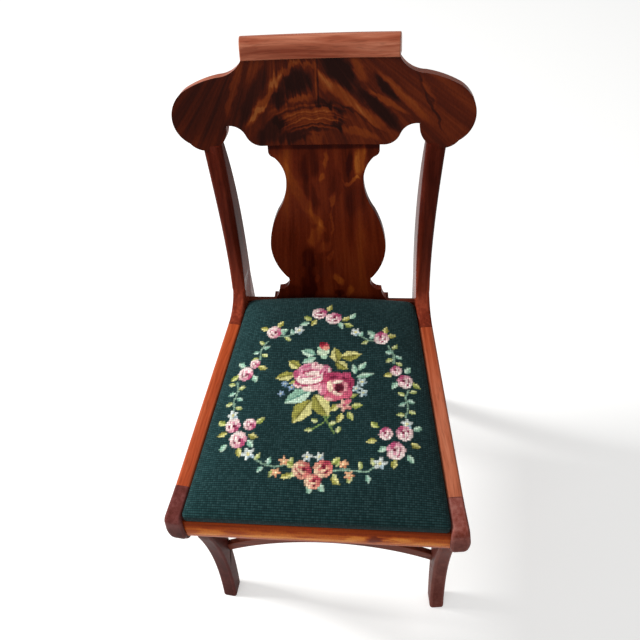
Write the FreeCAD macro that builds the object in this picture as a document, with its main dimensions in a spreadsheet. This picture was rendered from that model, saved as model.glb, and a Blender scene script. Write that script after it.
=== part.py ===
import FreeCAD, Part
import math
import os
from types import SimpleNamespace

import Sketcher

Vector = FreeCAD.Vector
doc = FreeCAD.newDocument("side_chair")

# Driving sizes, in millimetres and degrees
# X is to the sitter's left as the chair is seen from the front, Y runs back, Z is up from the floor.
SIZES = [
    ("chair_depth", "520", "nose of the seat to the heel of the rear legs"),
    ("seat_height", "437", "top of the side rails"),
    ("seat_front_width", "410", "over the noses"),
    ("seat_rear_width", "333", "over the joints of side rail and rear post"),
    ("seat_depth", "398", "nose to the front of the rear rail"),
    ("rail_thickness", "22", "planks of the side rails and front legs"),
    ("rail_height", "50", "side and rear rails"),
    ("knee_length", "54", "nose to the joint of leg and side rail"),
    ("rail_length", "293", "side rail between its two joints"),
    ("tenon_thickness", "8", "tenons of the three kinds of rail"),
    ("tenon_height", "30", "tenons of the three kinds of rail"),
    ("tenon_length", "14", "how far the tenons enter"),
    ("joint_clearance", "0.2", "room round each tenon, dowel and housed end"),
    ("nose_round", "9", "rounding of the nose's top edge"),
    ("nose_face_height", "48", "seat top to where the nose begins to turn under"),
    ("nose_under_drop", "26", "height of the turn under the nose"),
    ("nose_under_setback", "12", "depth of the turn under the nose"),
    ("calf_setback", "52", "front of the leg at calf height"),
    ("calf_height", "262", "where the knee's hollow meets the long curve"),
    ("shin_setback", "67", "front of the leg at its rearmost"),
    ("shin_height", "125", "height of the rearmost place"),
    ("toe_setback", "57", "front of the foot"),
    ("foot_length", "29", "depth of the front foot"),
    ("shin_depth", "33", "depth of the leg at its rearmost"),
    ("calf_depth", "41", "depth of the leg at calf height"),
    ("post_depth", "40", "rear post at seat level"),
    ("post_front", "395", "front of the stile along the side rail's line"),
    ("stile_sweep_height", "33", "rise of the curve from the rail's top into the stile"),
    ("stile_sweep_length", "40", "length of that curve along the rail"),
    ("stile_lean", "27", "straight part of the stile's lean back"),
    ("stile_bow", "20", "curved part of the stile's lean back"),
    ("stile_flare", "16", "outward curve of the stile at its top"),
    ("stile_top_depth", "18", "stile under the crest"),
    ("stile_top_width", "29", "stile under the crest"),
    ("stile_front_round", "8", "rounded front corners of the stile"),
    ("rear_leg_lean", "25", "straight part of the rear leg's sweep"),
    ("rear_foot_depth", "29", "rear foot, front to back"),
    ("rear_leg_flare", "12", "how far the rear foot stands out of the side rail's plane"),
    ("back_corner_round", "3", "rear corners of the post"),
    ("front_rail_thickness", "20", "core of the front rail"),
    ("front_rail_height", "46", "front rail"),
    ("front_rail_setback", "8", "nose to the upper edge of the front rail's face"),
    ("front_rail_bulge", "3", "rounding of the front rail's face"),
    ("veneer_thickness", "1", "face veneers"),
    ("rear_rail_thickness", "22", "rear rail"),
    ("rear_rail_flat", "9", "flat left on top of the rear rail beside the splat"),
    ("rear_rail_fall", "19", "how far its back edge is chamfered down there"),
    ("rear_rail_stop", "4", "gap between that chamfer and the splat's foot"),
    ("stretcher_setback", "92.5", "nose to the middle of the arched stretcher"),
    ("stretcher_end_height", "124", "underside of the arch at the legs"),
    ("stretcher_crown", "186", "underside of the arch at its middle"),
    ("stretcher_height", "24", "section of the arched stretcher"),
    ("stretcher_depth", "9", "section of the arched stretcher"),
    ("stretcher_housing", "8", "how far its ends enter the legs"),
    ("crest_line_height", "864", "where the crest's face plane meets its top line"),
    ("crest_rake", "17", "lean of the crest from upright"),
    ("crest_radius", "1320", "hollow of the crest in plan"),
    ("crest_thickness", "21", "crest board without its veneer"),
    ("crest_drop", "152", "top line to the straight lower edge, along the face"),
    ("crest_foot_half", "88", "half of the straight lower edge"),
    ("crest_reveal", "1", "crest face in front of the stile"),
    ("lobe_reach", "211", "middle of the crest to the outside of a lobe"),
    ("lobe_radius", "45", "round ends of the crest"),
    ("lobe_drop", "105", "top line to the middle of a lobe"),
    ("notch_step", "5", "flat of the notch beside a lobe"),
    ("cove_run", "35", "width of the hollow between roll and lobe"),
    ("cove_drop", "21", "height of the hollow between roll and lobe"),
    ("roll_half_length", "108", "half of the rolled top"),
    ("roll_height", "30", "rolled top"),
    ("roll_depth", "29", "rolled top"),
    ("roll_proud", "2", "rolled top in front of the crest's face"),
    ("dowel_diameter", "6", "dowels of the rolled top and the seat frame"),
    ("dowel_length", "24", "dowels of the rolled top and the seat frame"),
    ("roll_dowel_spacing", "72", "between the dowels of the rolled top"),
    ("stile_tenon_width", "13", "tenon of a stile in the crest"),
    ("stile_tenon_length", "22", "tenon of a stile in the crest"),
    ("splat_thickness", "10", "splat without its veneer"),
    ("splat_inset", "4", "face of the splat behind the faces of crest and rear rail"),
    ("splat_bow", "7", "hollow of the splat from top to foot"),
    ("splat_top_half", "81", "half width under the crest"),
    ("splat_neck_half", "57.5", "half width at the neck"),
    ("splat_neck_rise", "225", "rail top to the neck"),
    ("splat_belly_half", "90.5", "half width at the belly"),
    ("splat_belly_rise", "110", "rail top to the belly"),
    ("splat_waist_half", "67", "half width at the waist"),
    ("splat_waist_rise", "47", "rail top to the quirk above the waist"),
    ("splat_foot_half", "91", "half width on the rail"),
    ("splat_quirk", "3", "small steps in the splat's outline"),
    ("splat_tenon_thickness", "6", "tenons at both ends of the splat"),
    ("splat_tenon_half", "60", "half width of those tenons"),
    ("splat_tenon_length", "12", "how far they enter"),
    ("seat_rebate", "13", "side rail top down to the ledges"),
    ("seat_gap", "1", "room round the drop-in seat"),
    ("seat_crown", "22", "rise of the seat from its edge to its middle"),
    ("seat_corner_round", "16", "rear corners of the drop-in seat"),
    ("seat_front_corner", "6", "front corners of the drop-in seat"),
    ("cover_thickness", "1.6", "needlepoint canvas with its wool"),
    ("cover_turn_under", "31", "margin of the cover under the seat frame"),
    ("seat_frame_thickness", "10", "rails of the drop-in seat"),
    ("seat_frame_width", "46", "rails of the drop-in seat"),
    ("webbing_width", "50", "jute webbing"),
    ("webbing_thickness", "1", "jute webbing"),
    ("webbing_spacing", "88", "between the middles of the webs"),
    ("hessian_thickness", "0.6", "cloth over the webbing"),
    ("hessian_margin", "13", "edge of the frame to the edge of the hessian"),
    ("tack_head_diameter", "6", "tacks under the seat"),
    ("tack_head_thickness", "0.8", "tacks under the seat"),
    ("tack_length", "9", "tacks under the seat"),
    ("tack_spacing", "46", "between tacks"),
    ("tack_margin", "27", "edge of the seat to the row of tacks"),
    ("ledge_width", "12", "strips inside the rails"),
    ("ledge_height", "14", "strips inside the rails"),
    ("glue_block_leg", "42", "corner blocks along each rail"),
    ("glue_block_height", "20", "corner blocks"),
]

sheet = doc.addObject("Spreadsheet::Sheet", "Sizes")
for row, (alias, value, note) in enumerate(SIZES, start=1):
    sheet.set(f"A{row}", alias)
    sheet.set(f"B{row}", value)
    sheet.setAlias(f"B{row}", alias)
    sheet.set(f"C{row}", note)
doc.recompute()


class Size:
    """A number with the formula that ties it to the sheet."""

    def __init__(self, value, text):
        self.value = value
        self.text = text

    def __add__(self, other):
        other = as_size(other)
        return Size(self.value + other.value, f"({self.text} + {other.text})")

    def __sub__(self, other):
        other = as_size(other)
        return Size(self.value - other.value, f"({self.text} - {other.text})")

    def __mul__(self, other):
        other = as_size(other)
        return Size(self.value * other.value, f"({self.text} * {other.text})")

    def __truediv__(self, other):
        other = as_size(other)
        return Size(self.value / other.value, f"({self.text} / {other.text})")

    def __radd__(self, other):
        return as_size(other) + self

    def __rsub__(self, other):
        return as_size(other) - self

    def __rmul__(self, other):
        return as_size(other) * self

    def __neg__(self):
        return Size(-self.value, f"(0 - {self.text})")

    def sine(self):
        return Size(math.sin(math.radians(self.value)), f"sin({self.text})")

    def cosine(self):
        return Size(math.cos(math.radians(self.value)), f"cos({self.text})")

    def arc_sine(self):
        return Size(math.degrees(math.asin(self.value)), f"asin({self.text})")

    def root(self):
        return Size(math.sqrt(self.value), f"sqrt({self.text})")


def as_size(number):
    if isinstance(number, Size):
        return number
    return Size(float(number), f"({float(number)!r})")


s = SimpleNamespace(**{alias: Size(float(sheet.get(alias)), f"Sizes.{alias}") for alias, _, _ in SIZES})


def bind(thing, path, number):
    thing.setExpression(path, as_size(number).text)


class Frame:
    """Where a piece is laid out: an origin, and a turn about X or Z."""

    def __init__(self, x=0, y=0, z=0, about="Z", angle=0):
        self.origin = [as_size(x), as_size(y), as_size(z)]
        self.about = about
        self.angle = as_size(angle)

    def point(self, x=0, y=0, z=0):
        sine = self.angle.sine()
        cosine = self.angle.cosine()
        base_x, base_y, base_z = self.origin
        if self.about == "Z":
            return [base_x + cosine * x - sine * y, base_y + sine * x + cosine * y, base_z + z]
        return [base_x + x, base_y + cosine * y - sine * z, base_z + sine * y + cosine * z]

    def shifted(self, x=0, y=0, z=0):
        return Frame(*self.point(x, y, z), self.about, self.angle)

    def put(self, thing, x=0, y=0, z=0):
        axis = Vector(0, 0, 1) if self.about == "Z" else Vector(1, 0, 0)
        place = self.point(x, y, z)
        base = Vector(*[number.value for number in place])
        thing.Placement = FreeCAD.Placement(base, FreeCAD.Rotation(axis, self.angle.value))
        for letter, number in zip("xyz", place):
            bind(thing, f"Placement.Base.{letter}", number)
        bind(thing, "Placement.Rotation.Angle", self.angle)
        return thing


chair = Frame()
nodes = []


def name_node(label, thing):
    thing.Label = label
    nodes.append(thing)
    return thing


def new_body(name, frame):
    return frame.put(doc.addObject("PartDesign::Body", name))


def new_sketch(body, role, rise=0):
    sketch = body.newObject("Sketcher::SketchObject", "outline")
    plane = next(feature for feature in body.Origin.OriginFeatures if feature.Role == role)
    sketch.AttachmentSupport = [(plane, "")]
    sketch.MapMode = "FlatFace"
    bind(sketch, "AttachmentOffset.Base.z", rise)
    return sketch


def pin_point(sketch, curve, end, x, y):
    """Ties one point of a sketch to the sheet by its distances from the origin."""
    for kind, axis, number in (("DistanceX", -2, as_size(x)), ("DistanceY", -1, as_size(y))):
        if number.value == 0:
            sketch.addConstraint(Sketcher.Constraint("PointOnObject", curve, end, axis))
            continue
        index = sketch.addConstraint(Sketcher.Constraint(kind, -1, 1, curve, end, number.value))
        sketch.setExpression(f"Constraints[{index}]", number.text)


def add_arc(sketch, start, through, finish):
    """Adds an arc and tells which of its ends, 1 or 2, lies at the start of the path."""
    found = Part.Circle(start, through, finish)
    centre = found.Center
    turns_left = (through - start).cross(finish - through).z > 0
    first, last = (start, finish) if turns_left else (finish, start)
    first_angle = math.atan2(first.y - centre.y, first.x - centre.x)
    last_angle = math.atan2(last.y - centre.y, last.x - centre.x)
    if last_angle < first_angle:
        last_angle += 2 * math.pi
    circle = Part.Circle(centre, Vector(0, 0, 1), found.Radius)
    curve = sketch.addGeometry(Part.ArcOfCircle(circle, first_angle, last_angle), False)
    return curve, 1 if turns_left else 2


def draw(sketch, path):
    """Draws a closed outline. A step (x, y) is a line, and (through_x, through_y, x, y) is an arc."""
    ends = [step[-2:] for step in path]
    flat = [Vector(as_size(x).value, as_size(y).value, 0) for x, y in ends]
    curves = []
    for index, step in enumerate(path):
        start, finish = flat[index - 1], flat[index]
        if len(step) == 2:
            curves.append((sketch.addGeometry(Part.LineSegment(start, finish), False), 1))
        else:
            through = Vector(as_size(step[0]).value, as_size(step[1]).value, 0)
            curves.append(add_arc(sketch, start, through, finish))
    for index, step in enumerate(path):
        curve, start_end = curves[index]
        finish = (curve, 3 - start_end)
        sketch.addConstraint(Sketcher.Constraint("Coincident", *finish, *curves[(index + 1) % len(curves)]))
        pin_point(sketch, *finish, *ends[index])
        if len(step) == 4:
            through = Vector(as_size(step[0]).value, as_size(step[1]).value, 0)
            mark = sketch.addGeometry(Part.Point(through), True)
            pin_point(sketch, mark, 1, step[0], step[1])
            sketch.addConstraint(Sketcher.Constraint("PointOnObject", mark, 1, curve))
    return sketch


def mirrored(half):
    """Closes a right half outline, which runs from its top corner to its bottom one, by its mirror image."""
    bottom_x, bottom_y = half[-1][-2:]
    left = [(-bottom_x, bottom_y)]
    for before, step in zip(reversed(half[:-1]), reversed(half[1:])):
        x, y = before[-2:]
        through = (-step[0], step[1]) if len(step) == 4 else ()
        left.append((*through, -x, y))
    return half + left


def pad(body, sketch, length):
    feature = body.newObject("PartDesign::Pad", "plank")
    feature.Profile = sketch
    feature.SideType = "Symmetric"
    bind(feature, "Length", length)
    return feature


def rectangle(low_x, low_y, high_x, high_y):
    return [(high_x, low_y), (high_x, high_y), (low_x, high_y), (low_x, low_y)]


def new_box(frame, low, high):
    """A block between two corners given in a frame."""
    block = doc.addObject("Part::Box", "block")
    for side, a, b in zip(("Length", "Width", "Height"), low, high):
        bind(block, side, as_size(b) - a)
    return frame.put(block, *low)


def cut(base, *tools):
    for tool in tools:
        piece = doc.addObject("Part::Cut", "cut")
        piece.Base = base
        piece.Tool = tool
        base = piece
    return base


def fuse(*pieces):
    joined = doc.addObject("Part::MultiFuse", "joined")
    joined.Shapes = list(pieces)
    return joined


def common(base, tool):
    piece = doc.addObject("Part::Common", "common")
    piece.Base = base
    piece.Tool = tool
    return piece


def group(pieces):
    together = doc.addObject("Part::Compound", "group")
    together.Links = list(pieces)
    return together


# Places that several pieces share
SIDES = {"right": 1, "left": -1}
front = -s.chair_depth / 2
splay = ((s.seat_front_width - s.seat_rear_width) / 2 / (s.knee_length + s.rail_length)).arc_sine()
half_plank = s.rail_thickness / 2
rail_bottom = s.seat_height - s.rail_height
ledge_top = s.seat_height - s.seat_rebate
post_joint = s.knee_length + s.rail_length
rear_rail_front = front + s.seat_depth
clear = s.joint_clearance


def side_frame(side):
    """The upright plane of a side rail: local Y runs back along the rail from the nose."""
    x = s.seat_front_width / 2 - half_plank * splay.cosine()
    y = front + half_plank * splay.sine()
    return Frame(x * side, y, 0, "Z", splay * side)


def inner_half(y):
    """Half of the clear width between the side planks at a given Y."""
    start_x = s.seat_front_width / 2 - s.rail_thickness * splay.cosine()
    return start_x - (y - front) * splay.sine() / splay.cosine()


def outside(side, depth=0):
    """All the room outside the inner face of a side plank, to trim what fits between the planks."""
    near = half_plank - depth
    far = s.seat_front_width
    low_x, high_x = (-near, far) if side > 0 else (-far, near)
    low = (low_x, -s.seat_depth, -s.seat_height)
    return new_box(side_frame(side), low, (high_x, s.chair_depth * 2, s.crest_line_height * 2))


def rail_tenons(side, room=0):
    """The tenons of a side rail, as one bar along its middle, or the mortises for them."""
    middle = (s.seat_height + rail_bottom) / 2
    low_y = s.knee_length - s.tenon_length - room
    high_y = post_joint + s.tenon_length + room
    half_height = s.tenon_height / 2 + room
    half_width = s.tenon_thickness / 2 + room
    low = (-half_width, low_y, middle - half_height)
    return new_box(side_frame(side), low, (half_width, high_y, middle + half_height))


def cross_tenons(low_y, thickness, middle_z, room=0):
    """The tenons of a rail between the side planks, as one bar, or the mortises for them."""
    middle_y = low_y + thickness / 2
    reach = inner_half(middle_y) + s.tenon_length + room
    half_y = s.tenon_thickness / 2 + room
    half_z = s.tenon_height / 2 + room
    low = (-reach, middle_y - half_y, middle_z - half_z)
    high = (reach, middle_y + half_y, middle_z + half_z)
    return new_box(chair, low, high)


# Side rails: straight planks with a tenon at each end
def side_rail(label, side):
    body = new_body(label + "_plank", side_frame(side))
    outline = rectangle(s.knee_length, rail_bottom, post_joint, s.seat_height)
    pad(body, draw(new_sketch(body, "YZ_Plane"), outline), s.rail_thickness)
    return name_node(label, fuse(body, rail_tenons(side)))


# Front legs: knee with a rounded nose, and sabre leg, sawn from one plank
def front_leg_outline():
    nose_top = s.seat_height - s.nose_round
    turn = s.seat_height - s.nose_face_height
    under = turn - s.nose_under_drop
    calf_back = s.calf_setback + s.calf_depth
    shin_back = s.shin_setback + s.shin_depth
    corner = s.nose_round * (1 - math.sqrt(0.5))
    hollow_y = (s.nose_under_setback + s.calf_setback) / 2 + s.calf_setback * 0.15
    hollow_z = (under + s.calf_height) / 2 + s.calf_setback * 0.06
    back_y = (s.knee_length + calf_back) / 2 + s.calf_depth * 0.24
    back_z = (rail_bottom + s.calf_height) / 2 + s.calf_depth * 0.15
    return [
        (s.nose_round, s.seat_height),
        (corner, s.seat_height - corner, 0, nose_top),
        (0, turn),
        (s.nose_under_setback * 0.26, turn - s.nose_under_drop * 0.54, s.nose_under_setback, under),
        (hollow_y, hollow_z, s.calf_setback, s.calf_height),
        (s.shin_setback, s.shin_height, s.toe_setback, 0),
        (s.toe_setback + s.foot_length, 0),
        (shin_back, s.shin_height, calf_back, s.calf_height),
        (back_y, back_z, s.knee_length, rail_bottom),
        (s.knee_length, s.seat_height),
    ]


def front_leg(label, side, *mortises):
    body = new_body(label + "_plank", side_frame(side))
    pad(body, draw(new_sketch(body, "YZ_Plane"), front_leg_outline()), s.rail_thickness)
    return name_node(label, cut(body, *mortises))


# Rear posts: stile and rear leg in one piece, with a horn that carries the side rail
def post_section(body, height, middle_x, width, front_y, depth, share):
    """A level cut through the post. Its corners are nearly square at the seat and rounded further away."""
    half = width / 2
    rounding = min(1, 0.2 + share * 2.4)
    front_round = s.stile_front_round * rounding
    back_round = s.back_corner_round * rounding
    bite = 1 - math.sqrt(0.5)
    low_x, high_x = middle_x - half, middle_x + half
    high_y = front_y + depth
    path = [
        (high_x - front_round, front_y),
        (high_x - front_round * bite, front_y + front_round * bite, high_x, front_y + front_round),
        (high_x, high_y - back_round),
        (high_x - back_round * bite, high_y - back_round * bite, high_x - back_round, high_y),
        (low_x + back_round, high_y),
        (low_x + back_round * bite, high_y - back_round * bite, low_x, high_y - back_round),
        (low_x, front_y + front_round),
        (low_x + front_round * bite, front_y + front_round * bite, low_x + front_round, front_y),
    ]
    return draw(new_sketch(body, "XY_Plane", height), path)


def loft(body, sections):
    feature = body.newObject("PartDesign::AdditiveLoft", "swept")
    feature.Profile = sections[0]
    feature.Sections = sections[1:]
    return feature


def rear_post(label, side, stile_top, *mortises):
    body = new_body(label + "_plank", side_frame(side))
    stile_foot = s.seat_height + s.stile_sweep_height
    back = s.post_front + s.post_depth
    sweep_start = s.post_front - s.stile_sweep_length
    horn = [
        (sweep_start, s.seat_height),
        (
            sweep_start + s.stile_sweep_length * 0.62,
            s.seat_height + s.stile_sweep_height * 0.3,
            s.post_front,
            stile_foot,
        ),
        (back, stile_foot),
        (back, rail_bottom),
        (post_joint, rail_bottom),
        (post_joint, s.seat_height),
    ]
    pad(body, draw(new_sketch(body, "YZ_Plane"), horn), s.rail_thickness)
    stile = []
    for share in (0, 0.33, 0.67, 1):
        height = stile_foot + (stile_top - stile_foot) * share
        width = s.rail_thickness + (s.stile_top_width - s.rail_thickness) * share
        front_y = s.post_front + s.stile_lean * share + s.stile_bow * share ** 2
        depth = s.post_depth + (s.stile_top_depth - s.post_depth) * share ** 3
        middle_x = s.stile_flare * (side * share ** 2)
        stile.append(post_section(body, height, middle_x, width, front_y, depth, share))
    loft(body, stile)
    heel = (s.chair_depth - half_plank * splay.sine()
            - (s.rear_leg_flare + half_plank) * splay.sine()) / splay.cosine()
    sweep = heel - s.rear_foot_depth - s.post_front
    leg = []
    for share in (0, 0.33, 0.67, 1):
        height = rail_bottom * (1 - share)
        front_y = s.post_front + s.rear_leg_lean * share + (sweep - s.rear_leg_lean) * share ** 2
        depth = s.post_depth + (s.rear_foot_depth - s.post_depth) * share
        middle_x = s.rear_leg_flare * (side * share ** 2)
        leg.append(post_section(body, height, middle_x, s.rail_thickness, front_y, depth, share))
    loft(body, leg)
    return cut(body, *mortises)


# Front seat rail: a core with a rounded face, veneered
front_rail_top = ledge_top
front_rail_bottom = front_rail_top - s.front_rail_height
front_rail_middle = (front_rail_top + front_rail_bottom) / 2
front_rail_face = front + s.front_rail_setback
front_core_face = front_rail_face + s.veneer_thickness
front_rail_back = front_core_face + s.front_rail_thickness


def between_planks(body):
    return cut(body, *[outside(side) for side in SIDES.values()])


def front_rail():
    body = new_body("front_rail_bar", chair)
    bulge = front_core_face - s.front_rail_bulge
    outline = [
        (front_rail_back, front_rail_top),
        (front_core_face, front_rail_top),
        (bulge, front_rail_middle, front_core_face, front_rail_bottom),
        (front_rail_back, front_rail_bottom),
    ]
    pad(body, draw(new_sketch(body, "YZ_Plane"), outline), s.seat_front_width)
    tenons = cross_tenons(front_core_face, s.front_rail_thickness, front_rail_middle)
    return name_node("front_rail", fuse(between_planks(body), tenons))


def front_rail_veneer():
    body = new_body("front_veneer_sheet", chair)
    outline = [
        (front_rail_face, front_rail_top),
        (front_rail_face - s.front_rail_bulge, front_rail_middle, front_rail_face, front_rail_bottom),
        (front_core_face, front_rail_bottom),
        (front_core_face - s.front_rail_bulge, front_rail_middle, front_core_face, front_rail_top),
    ]
    pad(body, draw(new_sketch(body, "YZ_Plane"), outline), s.seat_front_width)
    return name_node("front_rail_veneer", between_planks(body))


# Rear seat rail: carries the splat on its top edge
def rear_rail_chamfers():
    """What is planed off the rail's back edge between the splat and the posts."""
    flat = s.rear_rail_flat
    fall = s.rear_rail_fall
    back = s.rear_rail_thickness
    body = new_body("rear_rail_chamfer", chair.shifted(0, rear_rail_front, s.seat_height))
    outline = [(back * 1.1, -fall), (back * 1.1, flat), (flat, flat), (flat, 0), (back, -fall)]
    pad(body, draw(new_sketch(body, "YZ_Plane"), outline), s.seat_rear_width)
    stop = s.splat_foot_half + s.rear_rail_stop
    low = (-stop, rear_rail_front, s.seat_height - fall * 2)
    return cut(body, new_box(chair, low, (stop, rear_rail_front + back * 2, s.seat_height + fall)))


def rear_rail(splat_mortise):
    high_y = rear_rail_front + s.rear_rail_thickness
    low = (-s.seat_rear_width / 2, rear_rail_front, rail_bottom)
    bar = new_box(chair, low, (s.seat_rear_width / 2, high_y, s.seat_height))
    middle = (s.seat_height + rail_bottom) / 2
    tenons = cross_tenons(rear_rail_front, s.rear_rail_thickness, middle)
    planed = cut(between_planks(bar), rear_rail_chamfers())
    return name_node("rear_rail", cut(fuse(planed, tenons), splat_mortise))


# Arched stretcher between the front legs, housed in their inner faces
def stretcher_form(room=0):
    y = front + s.stretcher_setback
    body = new_body("stretcher_bow", chair.shifted(0, y, 0))
    reach = inner_half(y) + s.stretcher_housing * 2
    low_end = s.stretcher_end_height - room
    low_crown = s.stretcher_crown - room
    height = s.stretcher_height + as_size(room) * 2
    outline = [
        (reach, low_end + height),
        (0, low_crown + height, -reach, low_end + height),
        (-reach, low_end),
        (0, low_crown, reach, low_end),
    ]
    pad(body, draw(new_sketch(body, "XZ_Plane"), outline), s.stretcher_depth + as_size(room) * 2)
    depth = s.stretcher_housing + as_size(room)
    return cut(body, *[outside(side, depth) for side in SIDES.values()])


# Crest: a raked board, hollow in plan, with round lobes; its face is veneered and its top rolled
lobe_x = s.lobe_reach - s.lobe_radius
lobe_low = s.lobe_drop + s.lobe_radius * 1.1
crest_depth = s.crest_thickness + s.veneer_thickness


def hollow(x):
    """How far the crest's face stands in front of its middle at a given X."""
    x = as_size(x)
    return s.crest_radius - (s.crest_radius * s.crest_radius - x * x).root()


stile_top_x = side_frame(1).point(s.stile_flare, s.post_front + s.stile_lean + s.stile_bow)[0]
stile_top_y = side_frame(1).point(s.stile_flare, s.post_front + s.stile_lean + s.stile_bow)[1]
rake = s.crest_rake
crest_y = stile_top_y - s.crest_reveal + hollow(stile_top_x) * rake.cosine() + lobe_low * rake.sine()
crest_face = Frame(0, crest_y, s.crest_line_height, "X", -rake)
crest_hub = crest_face.shifted(0, -s.crest_radius, 0)
lobe_bottom_height = crest_face.point(0, -hollow(stile_top_x), -lobe_low)[2]
cope_room = s.lobe_radius * 0.12
stile_top_height = lobe_bottom_height + cope_room


def crest_outline():
    """The sawn outline: cove, shoulder, lobe, notch and ogee, with the lower edge straight between."""
    cove_x = s.roll_half_length + s.cove_run
    cove_z = s.roll_height + s.cove_drop
    lobe_out = math.cos(math.radians(58))
    lobe_up = math.sin(math.radians(58))
    shoulder_x = lobe_x + s.lobe_radius * lobe_out
    shoulder_z = s.lobe_drop - s.lobe_radius * lobe_up
    heel_z = s.lobe_drop + s.lobe_radius * lobe_up
    notch_x = lobe_x - s.lobe_radius * 0.66
    notch_z = s.lobe_drop + s.lobe_radius * 0.34
    ogee_x = notch_x - s.notch_step
    ogee_run = ogee_x - s.crest_foot_half
    ogee_fall = s.crest_drop - notch_z
    half = [
        (s.roll_half_length, -s.roll_height),
        (s.roll_half_length + s.cove_run * 0.31, -s.roll_height - s.cove_drop * 0.6, cove_x, -cove_z),
        (
            (cove_x + shoulder_x) / 2,
            -(cove_z + shoulder_z) / 2 + s.lobe_radius * 0.05,
            shoulder_x,
            -shoulder_z,
        ),
        (s.lobe_reach, -s.lobe_drop, shoulder_x, -heel_z),
        (lobe_x - s.lobe_radius * 0.16, -lobe_low, notch_x, -s.lobe_drop - s.lobe_radius * 0.52),
        (notch_x, -notch_z),
        (ogee_x, -notch_z),
        (
            ogee_x - ogee_run * 0.28,
            -notch_z - ogee_fall * 0.13,
            ogee_x - ogee_run / 2,
            -notch_z - ogee_fall / 2,
        ),
        (
            s.crest_foot_half + ogee_run * 0.28,
            -s.crest_drop + ogee_fall * 0.13,
            s.crest_foot_half,
            -s.crest_drop,
        ),
    ]
    return mirrored(half)


def crest_block():
    body = new_body("crest_sawn_block", crest_face)
    pad(body, draw(new_sketch(body, "XZ_Plane"), crest_outline()), s.crest_radius / 4)
    return body


def turn_about_hub(body, outline, angle):
    feature = body.newObject("PartDesign::Revolution", "bent")
    feature.Profile = draw(new_sketch(body, "YZ_Plane"), outline)
    feature.ReferenceAxis = (feature.Profile[0], ["V_Axis"])
    feature.Midplane = True
    bind(feature, "Angle", angle)
    return body


def bent_board(name, near, far):
    """A board bent to the crest's hollow, between two depths behind the crest's face."""
    body = new_body(name, crest_hub)
    outline = rectangle(s.crest_radius + near, -lobe_low * 1.2, s.crest_radius + far, 0)
    return turn_about_hub(body, outline, (s.lobe_reach * 1.2 / s.crest_radius).arc_sine() * 2)


def crest_roll():
    body = new_body("crest_roll_strip", crest_hub)
    face = s.crest_radius - s.roll_proud
    back = face + s.roll_depth
    radius = s.roll_depth / 2
    outline = [
        (back, -s.roll_height),
        (back, -radius),
        (face + radius, 0, face, -radius),
        (face, -s.roll_height),
    ]
    return turn_about_hub(body, outline, (s.roll_half_length / s.crest_radius).arc_sine() * 2)


def roll_dowel(place, room=0):
    peg = doc.addObject("Part::Cylinder", "dowel")
    x = s.roll_dowel_spacing * place
    bind(peg, "Radius", s.dowel_diameter / 2 + room)
    bind(peg, "Height", s.dowel_length + as_size(room) * 2)
    y = s.veneer_thickness + s.crest_thickness / 2 - hollow(x)
    return crest_face.put(peg, x, y, -s.roll_height - s.dowel_length / 2 - room)


def stile_tenon(side, room=0):
    """The tenon on top of a stile, in the thickness of the crest."""
    middle_y = s.veneer_thickness + s.crest_thickness / 2 - hollow(stile_top_x)
    half_x = s.stile_tenon_width / 2 + room
    half_y = s.tenon_thickness / 2 + room
    low = (stile_top_x * side - half_x, middle_y - half_y, -lobe_low - s.stile_tenon_length / 2)
    high = (stile_top_x * side + half_x, middle_y + half_y, -lobe_low + s.stile_tenon_length + room)
    return new_box(crest_face, low, high)


# Splat: vase shaped, hollow from top to foot, tenoned into crest and rear rail
splat_foot_y = rear_rail_front + s.splat_inset
splat_top = crest_face.point(0, s.splat_inset, -s.crest_drop + s.splat_tenon_length)
splat_top_y, splat_top_z = splat_top[1], splat_top[2]
splat_rise = splat_top_z - s.seat_height
crest_foot_height = crest_face.point(0, s.splat_inset, -s.crest_drop)[2]


def splat_outline():
    rail = s.seat_height
    under = crest_foot_height
    quirk = s.splat_quirk
    neck = rail + s.splat_neck_rise
    belly = rail + s.splat_belly_rise
    waist = rail + s.splat_waist_rise
    sway_x = (s.splat_neck_half + s.splat_belly_half) / 2
    sway_z = (neck + belly) / 2 + quirk * 1.5
    cap_x = s.splat_top_half - quirk * 2
    cap_z = under - quirk * 6.5
    shoulder_x = cap_x - quirk
    shoulder_z = cap_z - quirk * 0.6
    ankle_x = s.splat_foot_half - quirk * 4.7
    ankle_z = rail + s.splat_waist_rise * 0.5
    toe_x = s.splat_foot_half - quirk * 2.4
    hip_x = s.splat_waist_half + quirk
    half = [
        (s.splat_top_half, splat_top_z + quirk),
        (s.splat_top_half, under - quirk * 3.5),
        (s.splat_top_half - quirk * 0.5, under - quirk * 5.3, cap_x, cap_z),
        (shoulder_x, shoulder_z),
        (s.splat_neck_half + (shoulder_x - s.splat_neck_half) * 0.27, neck + (shoulder_z - neck) * 0.55,
         s.splat_neck_half, neck),
        (s.splat_neck_half + (sway_x - s.splat_neck_half) * 0.24, (neck + sway_z) / 2, sway_x, sway_z),
        (
            s.splat_belly_half - (s.splat_belly_half - sway_x) * 0.29,
            (belly + sway_z) / 2,
            s.splat_belly_half,
            belly,
        ),
        (
            s.splat_belly_half - (s.splat_belly_half - hip_x) * 0.21,
            (belly + waist) / 2 + quirk,
            hip_x,
            waist + quirk,
        ),
        (s.splat_waist_half, waist),
        (s.splat_waist_half + quirk * 0.3, (waist + ankle_z) / 2 - quirk, ankle_x, ankle_z),
        (toe_x, ankle_z - quirk * 0.4),
        (toe_x + quirk * 0.1, ankle_z - quirk * 1.6),
        (toe_x + quirk * 0.9, rail + (ankle_z - rail) * 0.45, s.splat_foot_half, rail + quirk),
        (s.splat_foot_half, rail),
    ]
    return mirrored(half)


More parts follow.
